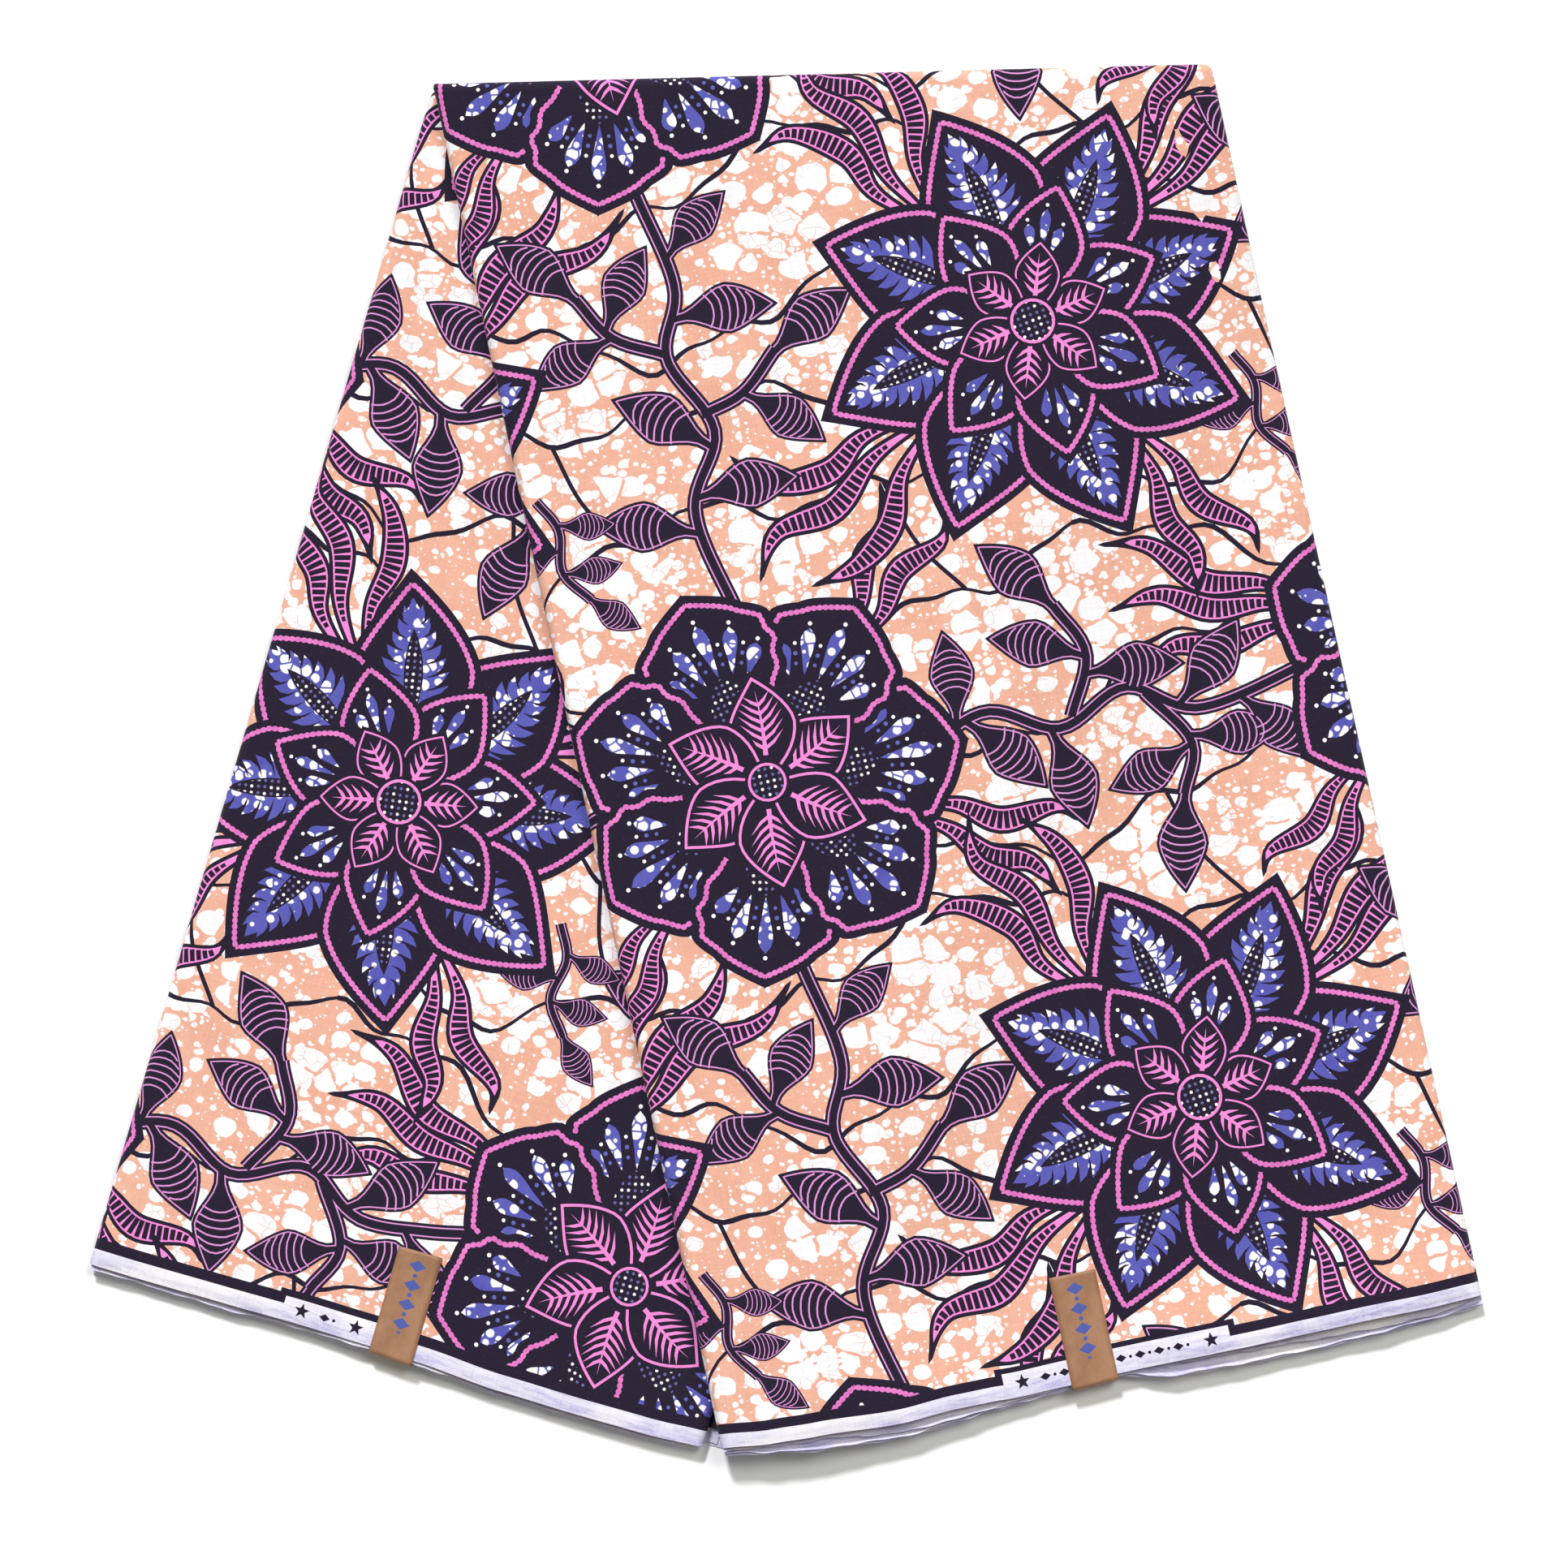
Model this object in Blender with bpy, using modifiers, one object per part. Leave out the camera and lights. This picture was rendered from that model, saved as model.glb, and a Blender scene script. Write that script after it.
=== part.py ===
"""A length of printed cotton, folded and laid flat as a fan of two leaves, a paper band round each lower edge.

Units are metres and +Z is up. The cloth rests on the floor at z = 0 and the cut edges point to -Y.
Each leaf is a folded packet: a core of hidden plies and the top ply, which turns down over the folds.
"""

import math
from dataclasses import dataclass

import bpy

MM = 0.001

# Thicknesses and gaps, mm.
CLOTH = 1.0
PAPER = 0.6
GAP = 0.3
CORE_HEIGHT = 8.2
FOLD_RADIUS = 4.5
FACE_HEIGHT = CORE_HEIGHT + GAP + CLOTH
STEP_TOP = 3.0
CORE_RADIUS = FOLD_RADIUS - CLOTH - GAP
FACE_ARC_STEPS = 4

# The right leaf lies over the left one and comes down to the floor beside it, mm past the left leaf's edge.
RAMP_START = 22.0
RAMP_END = 120.0
RAISED = FACE_HEIGHT + GAP

# Nominal sizes of a leaf's own grid, mm. A leaf's real sides come from its four corners.
GRID_LENGTH = 600.0
EDGE_BLEND = 70.0

# The paper band, mm: on top, underneath, past the cloth's edge, and the room left under the core.
BAND_TOP = 47.0
BAND_UNDER = 24.0
BAND_PAST_EDGE = 2.5
BAND_BEND = 1.8
BAND_ARC_STEPS = 4
RECESS_DEPTH = PAPER + GAP
RECESS_LENGTH = 26.0
RECESS_RIM = 1.2
RECESS_SIDE = 0.6

# Lower edge of a leaf, mm: distance along it from the left, how far the edge bows out, and how far
# the second, third and lowest plies stand out past the top ply there.
ALONG, BOW, SECOND, THIRD, LOWEST = range(5)
LEFT_EDGE = (
    (0.0, 0.0, 0.9, 1.6, 1.9),
    (22.0, 0.3, 0.8, 1.2, 1.4),
    (62.0, 0.2, 1.6, 2.4, 2.7),
    (94.0, 0.0, 0.7, 1.0, 1.2),
    (129.0, 0.2, 0.3, 0.5, 0.8),
    (150.0, 0.6, 0.3, 0.5, 0.8),
    (191.0, 1.5, 0.2, 0.4, 0.6),
    (225.0, 2.3, 0.2, 0.3, 0.5),
    (258.0, 1.2, 0.1, 0.2, 0.4),
    (284.0, 0.0, -0.8, -1.2, -1.6),
)
RIGHT_EDGE = (
    (0.0, 0.0, 0.7, 1.5, 1.6),
    (24.0, 2.1, 1.5, 3.8, 6.0),
    (42.0, 2.6, 1.8, 6.0, 6.8),
    (81.0, 4.8, 3.9, 6.0, 6.3),
    (105.0, 3.5, 4.6, 5.9, 6.2),
    (121.0, 3.4, 3.0, 3.6, 4.5),
    (133.0, 3.2, 1.5, 2.8, 3.5),
    (157.0, 2.7, 0.3, 1.4, 1.7),
    (180.0, 1.8, 0.3, 1.4, 1.7),
    (203.0, 1.5, 1.0, 6.4, 6.7),
    (237.0, 1.5, 2.0, 7.3, 7.7),
    (266.0, 1.0, 3.4, 7.8, 9.8),
    (294.0, 0.6, 4.6, 7.1, 9.2),
    (317.0, 0.8, 4.2, 5.5, 8.4),
    (344.6, 0.0, 0.9, 4.4, 4.8),
)

# The core's wall, from the floor up, mm: height, set back behind the fold line, which ply of the
# lower edge stands at this height and how far that ply is drawn in.
HEIGHT, FOLD_IN, PLY, PLY_IN = range(4)
CORE_WALL = (
    (0.0, 2.4, LOWEST, 0.8),
    (0.6, 0.8, LOWEST, 0.0),
    (1.2, 0.5, LOWEST, 0.0),
    (1.6, 2.2, LOWEST, 5.5),
    (2.0, 1.5, LOWEST, 1.2),
    (3.0, 1.4, LOWEST, 1.2),
    (3.4, 2.3, THIRD, 5.5),
    (3.8, 1.5, THIRD, 0.0),
    (5.0, 1.3, THIRD, 0.0),
)
SHOULDER_BASE = CORE_HEIGHT - CORE_RADIUS
SHOULDER = ((7.0, THIRD, 6.5), (14.0, SECOND, 0.0), (38.0, SECOND, 0.0), (61.0, SECOND, 0.3))
TOP_PLY_COVER = 1.2


@dataclass(frozen=True)
class Leaf:
    """One leaf of the fan: its plan corners, its grid stations, its lower edge and its band, mm."""

    name: str
    corners: tuple
    width: float
    across: tuple
    down: tuple
    edge: tuple
    band: tuple
    step_out: float
    flange_end: float
    overlaps: bool


LEFT_CORNERS = ((-156.6, 309.6), (140.0, 317.2), (-35.3, -291.2), (-308.2, -212.8))
RIGHT_CORNERS = ((-155.9, 310.7), (189.7, 319.7), (309.6, -226.6), (-27.4, -295.2))
RIGHT_DOWN = tuple(36.0 * row for row in range(1, 16))
LEFT_DOWN = tuple(75.0 * row for row in range(1, 8))

LEFT = Leaf(
    name="left",
    corners=LEFT_CORNERS,
    width=284.0,
    across=(14.0, 28.0, 45.0, 62.0, 78.0, 94.0, 111.0, 168.0, 191.0, 208.0, 225.0, 242.0, 258.0, 271.0),
    down=LEFT_DOWN,
    edge=LEFT_EDGE,
    band=(130.0, 150.0),
    step_out=12.0,
    flange_end=3.7,
    overlaps=False,
)
RIGHT = Leaf(
    name="right",
    corners=RIGHT_CORNERS,
    width=344.6,
    across=(
        *(16.2 * column for column in range(1, 10)),
        *(194.0 + 14.6 * column for column in range(10)),
    ),
    down=RIGHT_DOWN,
    edge=RIGHT_EDGE,
    band=(157.8, 178.8),
    step_out=0.0,
    flange_end=1.8,
    overlaps=True,
)


def clear_scene():
    """Removes everything that is in the scene."""
    for obj in list(bpy.data.objects):
        bpy.data.objects.remove(obj, do_unlink=True)


def smooth_step(low, high, value):
    """Runs softly from 0 at low to 1 at high."""
    t = min(1.0, max(0.0, (value - low) / (high - low)))
    return t * t * (3.0 - 2.0 * t)


def read_edge(table, column, along):
    """Reads one column of a lower edge table at a distance along the edge, eased between rows."""
    if along <= table[0][ALONG]:
        return table[0][column]
    for near, far in zip(table, table[1:]):
        if along <= far[ALONG]:
            t = smooth_step(near[ALONG], far[ALONG], along)
            return near[column] + t * (far[column] - near[column])
    return table[-1][column]


def floor_of(leaf, x, y):
    """Height of a leaf's underside at a place in plan, mm."""
    if not leaf.overlaps:
        return 0.0
    (top_x, top_y), (low_x, low_y) = LEFT_CORNERS[1], LEFT_CORNERS[2]
    run = math.hypot(top_x - low_x, top_y - low_y)
    right_x, right_y = (top_y - low_y) / run, -(top_x - low_x) / run
    past = (x - low_x) * right_x + (y - low_y) * right_y
    return RAISED * (1.0 - smooth_step(RAMP_START, RAMP_END, past))


def place(leaf, across, down, height):
    """Point of a leaf from its own grid: mm across from the left, mm down from the top, mm above its underside."""
    top_left, top_right, low_right, low_left = leaf.corners
    bow = read_edge(leaf.edge, BOW, across) * smooth_step(
        GRID_LENGTH - EDGE_BLEND, GRID_LENGTH, down
    )
    a = across / leaf.width
    b = (down + bow) / GRID_LENGTH
    x, y = (
        (1 - b) * ((1 - a) * top_left[i] + a * top_right[i])
        + b * ((1 - a) * low_left[i] + a * low_right[i])
        for i in (0, 1)
    )
    return (x, y, floor_of(leaf, x, y) + height)


def stations(leaf):
    """The leaf's inner stations across, with those of the band's recess among them."""
    low, high = leaf.band
    recess = (
        low - RECESS_SIDE - RECESS_RIM,
        low - RECESS_SIDE,
        high + RECESS_SIDE,
        high + RECESS_SIDE + RECESS_RIM,
    )
    return sorted(leaf.across + recess)


def down_stations():
    """The stations down a leaf that the band's recess needs."""
    return (GRID_LENGTH - RECESS_LENGTH - RECESS_RIM, GRID_LENGTH - RECESS_LENGTH)


def over_recess(leaf, across, down):
    """Says whether a grid point lies in the recess for the band's lower flap."""
    low, high = leaf.band
    inside_across = low - RECESS_SIDE - 0.01 <= across <= high + RECESS_SIDE + 0.01
    return inside_across and down >= GRID_LENGTH - RECESS_LENGTH - 0.01


def core_rings():
    """All rings of the core's wall as (height, set back at a fold, ply, ply set back)."""
    rings = list(CORE_WALL)
    for degrees, ply, ply_in in SHOULDER:
        turn = math.radians(degrees)
        rings.append(
            (
                SHOULDER_BASE + CORE_RADIUS * math.sin(turn),
                FOLD_RADIUS - CORE_RADIUS * math.cos(turn),
                ply,
                ply_in,
            )
        )
    rings.append((CORE_HEIGHT, FOLD_RADIUS, None, TOP_PLY_COVER))
    return rings


def core_point(leaf, across, down, ring, last_across, last_down):
    """Point of one ring or cap of the core, for one station across and one down."""
    height, fold_in, ply, ply_in = ring
    left_in = fold_in
    right_in = fold_in
    if height <= STEP_TOP:
        right_in = fold_in - leaf.step_out * (1.0 - 0.4 * height / STEP_TOP)
    if across is None:
        across = left_in
    elif across == last_across:
        across = leaf.width - right_in
    if down is None:
        down = fold_in
    elif down == last_down:
        stand_out = 0.0 if ply is None else read_edge(leaf.edge, ply, across)
        down = GRID_LENGTH + stand_out - ply_in
    if over_recess(leaf, across, down):
        height = RECESS_DEPTH + height * (CORE_HEIGHT - RECESS_DEPTH) / CORE_HEIGHT
    return place(leaf, across, down, height)


def mesh_object(name, points, faces, colour, roughness):
    """Makes an object with its own plain material from points in mm."""
    mesh = bpy.data.meshes.new(name)
    mesh.from_pydata([tuple(c * MM for c in p) for p in points], [], faces)
    mesh.validate()
    obj = bpy.data.objects.new(name, mesh)
    material = bpy.data.materials.new(name)
    material.use_nodes = True
    shader = material.node_tree.nodes["Principled BSDF"]
    shader.inputs["Base Color"].default_value = (*colour, 1.0)
    shader.inputs["Roughness"].default_value = roughness
    mesh.materials.append(material)
    return obj


def grid_faces(index, columns, rows, upward):
    """Triangles between the points of a grid, the split of each square running up to the right."""
    faces = []
    for j in range(rows - 1):
        for i in range(columns - 1):
            a, b = index[j][i], index[j][i + 1]
            c, d = index[j + 1][i + 1], index[j + 1][i]
            for face in ((a, d, b), (b, d, c)):
                faces.append(face if upward else face[::-1])
    return faces


def band_faces(lower, upper, closed):
    """Triangles between two rings of points, the lower one first."""
    count = len(lower)
    faces = []
    for i in range(count if closed else count - 1):
        j = (i + 1) % count
        faces += [(lower[i], lower[j], upper[i]), (lower[j], upper[j], upper[i])]
    return faces


def build_core(leaf, colour):
    """The hidden plies of a leaf as one solid, layered all round its wall."""
    across = [None, *stations(leaf), leaf.width]
    down = [None, *leaf.down, *down_stations(), GRID_LENGTH]
    columns, rows = len(across), len(down)
    rings = core_rings()
    points, loops = [], []
    border = (
        [(i, rows - 1) for i in range(columns)]
        + [(columns - 1, j) for j in range(rows - 2, -1, -1)]
        + [(i, 0) for i in range(columns - 2, -1, -1)]
        + [(0, j) for j in range(1, rows - 1)]
    )
    for level, ring in enumerate(rings):
        cap = level in (0, len(rings) - 1)
        places = [(i, j) for j in range(rows) for i in range(columns)] if cap else border
        numbers = {}
        for i, j in places:
            numbers[(i, j)] = len(points)
            points.append(core_point(leaf, across[i], down[j], ring, leaf.width, GRID_LENGTH))
        loops.append(numbers)
    faces = []
    for lower, upper in zip(loops, loops[1:]):
        faces += band_faces([lower[p] for p in border], [upper[p] for p in border], True)
    for numbers, upward in ((loops[0], False), (loops[-1], True)):
        index = [[numbers[(i, j)] for i in range(columns)] for j in range(rows)]
        faces += grid_faces(index, columns, rows, upward)
    return mesh_object(f"{leaf.name}_leaf_core", points, faces, colour, 0.9)


def face_levels(leaf):
    """The top ply's turn over a fold as (set back behind the fold line, drop below its top)."""
    levels = [(FOLD_RADIUS, 0.0)]
    for step in range(1, FACE_ARC_STEPS + 1):
        turn = math.radians(90.0 * step / FACE_ARC_STEPS)
        levels.append((FOLD_RADIUS * (1 - math.sin(turn)), FOLD_RADIUS * (1 - math.cos(turn))))
    levels.append((0.0, FACE_HEIGHT - leaf.flange_end))
    return levels


def build_face(leaf, colour):
    """The top ply: flat over the core, turned down at its three folds, cut straight at its lower edge."""
    inner = stations(leaf)
    down = [*leaf.down, *down_stations(), GRID_LENGTH]
    columns, rows = len(inner) + 2, len(down) + 1
    points, loops = [], []
    for level, (set_back, drop) in enumerate(face_levels(leaf)):
        across_now = [set_back, *inner, leaf.width - set_back]
        down_now = [set_back, *down]
        path = (
            [(0, j) for j in range(rows - 1, 0, -1)]
            + [(i, 0) for i in range(columns)]
            + [(columns - 1, j) for j in range(1, rows)]
        )
        places = path if level else [(i, j) for j in range(rows) for i in range(columns)]
        numbers = {}
        for i, j in places:
            numbers[(i, j)] = len(points)
            points.append(place(leaf, across_now[i], down_now[j], FACE_HEIGHT - drop))
        loops.append(numbers)
    index = [[loops[0][(i, j)] for i in range(columns)] for j in range(rows)]
    faces = grid_faces(index, columns, rows, True)
    for upper, lower in zip(loops, loops[1:]):
        faces += band_faces([upper[p] for p in path], [lower[p] for p in path], False)
    obj = mesh_object(f"{leaf.name}_leaf_face", points, faces, colour, 0.85)
    wall = obj.modifiers.new("cloth", "SOLIDIFY")
    wall.thickness = CLOTH * MM
    wall.offset = -1.0
    return obj


def band_path():
    """The band's outer line, seen from the side, as (past the lower edge, height), from its top end on."""
    top = FACE_HEIGHT + GAP + PAPER
    end = BAND_PAST_EDGE + PAPER
    bend = BAND_BEND + PAPER
    path = [(-BAND_TOP, top), (-RECESS_LENGTH, top)]
    for step in range(BAND_ARC_STEPS + 1):
        turn = math.radians(90.0 * step / BAND_ARC_STEPS)
        path.append((end - bend + bend * math.sin(turn), top - bend + bend * math.cos(turn)))
    for step in range(BAND_ARC_STEPS + 1):
        turn = math.radians(90.0 * step / BAND_ARC_STEPS)
        path.append((end - bend + bend * math.cos(turn), bend - bend * math.sin(turn)))
    path.append((-BAND_UNDER, 0.0))
    return path


def build_band(leaf, colour):
    """The paper band: over the top ply, round the cut edges and back under the lowest ply."""
    low, high = leaf.band
    path = band_path()
    points = [
        place(leaf, across, GRID_LENGTH + past, height)
        for past, height in path
        for across in (high, low)
    ]
    faces = [(2 * i, 2 * i + 1, 2 * i + 3, 2 * i + 2) for i in range(len(path) - 1)]
    obj = mesh_object(f"{leaf.name}_band", points, faces, colour, 0.7)
    wall = obj.modifiers.new("paper", "SOLIDIFY")
    wall.thickness = PAPER * MM
    wall.offset = -1.0
    return obj


def centre_on_floor(objects):
    """Moves every mesh so that the whole stands centred over the origin, and returns the move in metres."""
    points = [v.co for obj in objects for v in obj.data.vertices]
    shift = [
        -0.5 * (min(p[i] for p in points) + max(p[i] for p in points)) for i in (0, 1)
    ]
    for obj in objects:
        for vertex in obj.data.vertices:
            vertex.co.x += shift[0]
            vertex.co.y += shift[1]
        obj.data.update()
    return shift


def main():
    """Builds the folded cloth and its two paper bands."""
    clear_scene()
    collection = bpy.data.collections.new("wax_print_fabric")
    bpy.context.scene.collection.children.link(collection)
    objects = []
    for leaf in (LEFT, RIGHT):
        objects += [
            build_core(leaf, (0.86, 0.84, 0.88)),
            build_face(leaf, (0.92, 0.64, 0.47)),
            build_band(leaf, (0.45, 0.29, 0.16)),
        ]
    for obj in objects:
        collection.objects.link(obj)
    shift = centre_on_floor(objects)
    print("moved by mm", [round(1000 * s, 4) for s in shift])


main()
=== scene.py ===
"""Dresses the folded wax print cloth: two leaves of printed cotton in a fan, each with a brown paper band.

Sizes are in millimetres and become metres where a mesh is written. On a leaf, "across" runs along its
selvage from the left corner and "up" runs from the selvage to the top fold.
"""
import logging
import math
from dataclasses import dataclass, field, replace
from enum import Enum
from functools import cached_property, reduce

import bpy
import numpy as np
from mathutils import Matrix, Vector
from mathutils.geometry import delaunay_2d_cdt


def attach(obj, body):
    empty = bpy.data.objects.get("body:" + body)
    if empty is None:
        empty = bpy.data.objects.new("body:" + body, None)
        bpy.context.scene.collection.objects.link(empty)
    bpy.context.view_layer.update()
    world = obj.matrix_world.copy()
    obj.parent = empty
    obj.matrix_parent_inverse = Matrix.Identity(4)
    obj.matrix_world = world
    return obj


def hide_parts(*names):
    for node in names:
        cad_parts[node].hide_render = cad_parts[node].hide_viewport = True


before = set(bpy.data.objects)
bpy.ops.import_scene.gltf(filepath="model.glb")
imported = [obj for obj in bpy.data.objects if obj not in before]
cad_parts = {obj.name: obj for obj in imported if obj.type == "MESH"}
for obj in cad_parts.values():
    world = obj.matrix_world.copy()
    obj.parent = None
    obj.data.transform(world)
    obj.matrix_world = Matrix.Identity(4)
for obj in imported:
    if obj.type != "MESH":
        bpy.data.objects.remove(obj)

log = logging.getLogger("wax_print")
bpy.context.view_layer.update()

Points = np.ndarray
Socket = bpy.types.NodeSocket
MM = 0.001
QUARTER_TURN = 0.5 * math.pi

# One unit of a cloth map, and how much cloth the map for baking spans, mm.
MAP_UNIT = 100.0
BAKE_SPAN = 670.0

# The solids were centred on the floor by this much after they were drawn, mm.
CENTRED = (-0.9356, -10.5771)

# Heights and bends of a leaf, mm. The right leaf lies raised on the left one and ramps down beside it.
FACE_HEIGHT = 9.5
RAISED = 9.8
RAMP_START = 22.0
RAMP_END = 120.0
FOLD_RADIUS = 4.5
UNDER_RADIUS = 1.2
UNDER_REACH = 1.5
COTTON = 0.4
LOWER_COTTON = 0.34

# A leaf's grid runs this far down from its top fold, and the edge's own course reaches so far into it, mm.
GRID_LENGTH = 600.0
EDGE_BLEND = 70.0

# How far up from its cut edge the print follows the edge's bow, the lift of the edge fades and the roll
# of the edge fades, and how far past a bend's start the creases fade, mm.
BOW_FADE = 200.0
LIFT_FADE = 52.0
ROLL_FADE = 4.6
CREASE_FADE = 7.0

# How far up a leaf points are set, and how far beside a place its normal is measured, mm.
POINTS_REACH = 640.0
BESIDE = 0.04

# The rough width and length of a contour, by which its points are counted, and how far past the start of a
# bend a place still counts as before it, mm.
CONTOUR_SIZE = (340.0, 560.0)
ON_FACE = 0.01

# A printed outline's points lie at least this far apart, mm, and its area is at least this, square mm.
POINTS_APART = 0.06
LEAST_AREA = 0.25

# The columns of a lower edge table.
ALONG, BOW, SECOND, THIRD, LOWEST = range(5)


class Ink(Enum):
    """What a printed shape is filled with."""

    GROUND = "peach_ground"
    NAVY = "navy_ink"
    BEADS = "orchid_beads"
    FLAME = "violet_feathers"
    DOTS = "dotted_navy"
    ORCHID = "orchid_ink"
    MAUVE = "mauve_ink"
    VIOLET = "violet_ink"
    WHITE = "bare_white"
    SELVAGE = "selvage"

    @property
    def place(self) -> int:
        """Its place among the inks, which is its material slot."""
        return list(Ink).index(self)


def smooth_step(low: Points | float, high: Points | float, value: Points | float) -> Points:
    """Runs softly from 0 to 1 as value goes from low to high."""
    t = np.clip((np.asarray(value, float) - low) / (high - low), 0.0, 1.0)
    return t * t * (3.0 - 2.0 * t)


def xy(x: Points | float, y: Points | float) -> Points:
    """Points from their two numbers, either of which may be the same for all."""
    return np.stack(np.broadcast_arrays(x, y), 1)


def unit(vectors: Points) -> Points:
    """Vectors drawn out to a length of one."""
    return vectors / np.maximum(reduce(np.hypot, vectors.T), 1e-15)[..., None]


def left_of(vectors: Points) -> Points:
    """Vectors turned a quarter to the left."""
    return np.stack([-vectors[..., 1], vectors[..., 0]], -1)


def linear(red: int, green: int, blue: int) -> tuple[float, ...]:
    """Turns a colour as seen on a screen, 0 to 255, into the numbers that a shader wants."""
    parts = [c / 255.0 for c in (red, green, blue)]
    return tuple(c / 12.92 if c <= 0.04045 else ((c + 0.055) / 1.055) ** 2.4 for c in parts) + (1.0,)


# The two leaves.


@dataclass(frozen=True)
class Crease:
    """A soft trough or ridge pressed into a leaf: its two ends across and up, half width and depth, mm."""

    start: tuple[float, float]
    end: tuple[float, float]
    half: float
    depth: float

    def height(self, flat: Points) -> Points:
        """Height that the crease adds at places on the flat leaf.

        Args:
            flat: places, mm across and up.

        Returns:
            Heights in mm, below nothing in a trough.
        """
        a, b = np.array(self.start), np.array(self.end)
        run = b - a
        t = ((flat - a) @ run) / (run @ run)
        near = a + np.clip(t, 0.0, 1.0)[:, None] * run
        off = np.hypot(*(flat - near).T)
        fade = smooth_step(-0.05, 0.22, t) * (1.0 - smooth_step(0.78, 1.05, t))
        return self.depth * fade * np.exp(-((off / self.half) ** 2))


@dataclass(frozen=True)
class Leaf:
    """One leaf of the fan, with its true outline in plan and the tables of its lower edge, mm.

    The edge table is read by its columns. The roll turns the top ply's own edge down, the curl lifts the
    cut edges off the surface under them, and the sink lets the lower plies lie closer together there.
    """

    name: str
    corners: tuple
    grain: tuple[float, float]
    width: float
    edge: tuple
    band: tuple[float, float]
    turn_under: float
    raised: bool
    repeat_at: tuple[float, float]
    selvage: float
    border: float
    notch: tuple[float, float, float, float]
    step_out: float
    roll: tuple = ((0.0, 0.5), (300.0, 0.5))
    sink: tuple = ((0.0, 0.3), (300.0, 0.3))
    curl: tuple = ((0.0, 0.0), (300.0, 0.0))
    creases: tuple[Crease, ...] = ()
    ripple: float = 0.16

    def axes(self) -> tuple[Points, Points, Points]:
        """Returns the leaf's low left corner and the directions of across and up, in plan."""
        ex = unit(np.array(self.grain))
        return np.array(self.corners[3]), ex, left_of(ex)

    def local(self, plan: Points) -> Points:
        """Plan places as mm across and up."""
        (origin, *axes), plan = self.axes(), np.asarray(plan, float).reshape(-1, 2)
        return np.stack([(plan - origin) @ axis for axis in axes], 1)

    def plan(self, local: Points) -> Points:
        """Mm across and up as plan places."""
        origin, ex, ey = self.axes()
        return origin + local[:, :1] * ex + local[:, 1:] * ey

    def read_edge(self, column: int, across: Points) -> Points:
        """Reads a column of the lower edge table, eased between its rows.

        Args:
            column: which column.
            across: distances along the edge, mm.

        Returns:
            The column's values there, mm.
        """
        rows = np.array(self.edge)
        along = np.clip(np.asarray(across, float), rows[0, ALONG], rows[-1, ALONG])
        i = np.clip(np.searchsorted(rows[:, ALONG], along, side="right") - 1, 0, len(rows) - 2)
        t = smooth_step(rows[i, ALONG], rows[i + 1, ALONG], along)
        return rows[i, column] + t * (rows[i + 1, column] - rows[i, column])

    def edge_up(self, across: Points, stand_out: Points | float = 0.0) -> Points:
        """How far up the leaf its lower edge lies, below nothing where the edge bows out.

        Args:
            across: mm across.
            stand_out: how far a ply stands out past the top one, mm.

        Returns:
            Places up the leaf, mm.
        """
        tops, lows = self.local(self.corners[:2]), self.local((self.corners[3], self.corners[2]))
        share = np.clip(across / lows[1, 0], 0.0, 1.0)
        chord = lows[1, 1] * share
        pull = ((tops[0] - lows[0])[1] * (1 - share) + (tops[1] - lows[1])[1] * share) / GRID_LENGTH
        return chord - pull * (self.read_edge(BOW, across) + stand_out)

    def floor_under(self, plan: Points) -> Points:
        """Height of the leaf's underside over the floor at places in plan, mm.

        Args:
            plan: places in plan, mm.

        Returns:
            Heights, mm; nothing under the left leaf.
        """
        if not self.raised:
            return np.zeros(len(plan))
        top, low = np.array(LEFT_CORNERS[1:3])
        past = (low - plan) @ left_of(unit(top - low))
        return RAISED * (1.0 - smooth_step(RAMP_START, RAMP_END, past))

    def sides(self) -> list[tuple[Points, Points]]:
        """The left, top and right fold lines, each as a point and its outward direction, across and up."""
        tl, tr, br, bl = self.local(self.corners)
        return [(a, left_of(unit(b - a))) for a, b in ((bl, tl), (tl, tr), (tr, br))]

    def past_sides(self, local: Points) -> Points:
        """How far places lie past the start of each fold's bend, mm, in three columns."""
        return np.stack([np.maximum(0.0, (local - p) @ n + FOLD_RADIUS) for p, n in self.sides()], 1)

    def on_face(self, local: Points) -> Points:
        """Keeps the places that lie before the bends."""
        return local[self.past_sides(local).max(1) < ON_FACE]

    def corner(self, first: int, past_first: Points, past_second: Points) -> Points:
        """Places by their distances past the bends of two fold lines that meet.

        Args:
            first: the first of the two, by its place among the sides.
            past_first: how far past its bend they lie, mm.
            past_second: how far past the next one's.

        Returns:
            The places, mm across and up.
        """
        (p, n), (q, m) = self.sides()[first], self.sides()[first + 1]
        right = np.stack([p @ n + past_first - FOLD_RADIUS, q @ m + past_second - FOLD_RADIUS])
        return np.linalg.solve(np.array([n, m]), right).T

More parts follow.
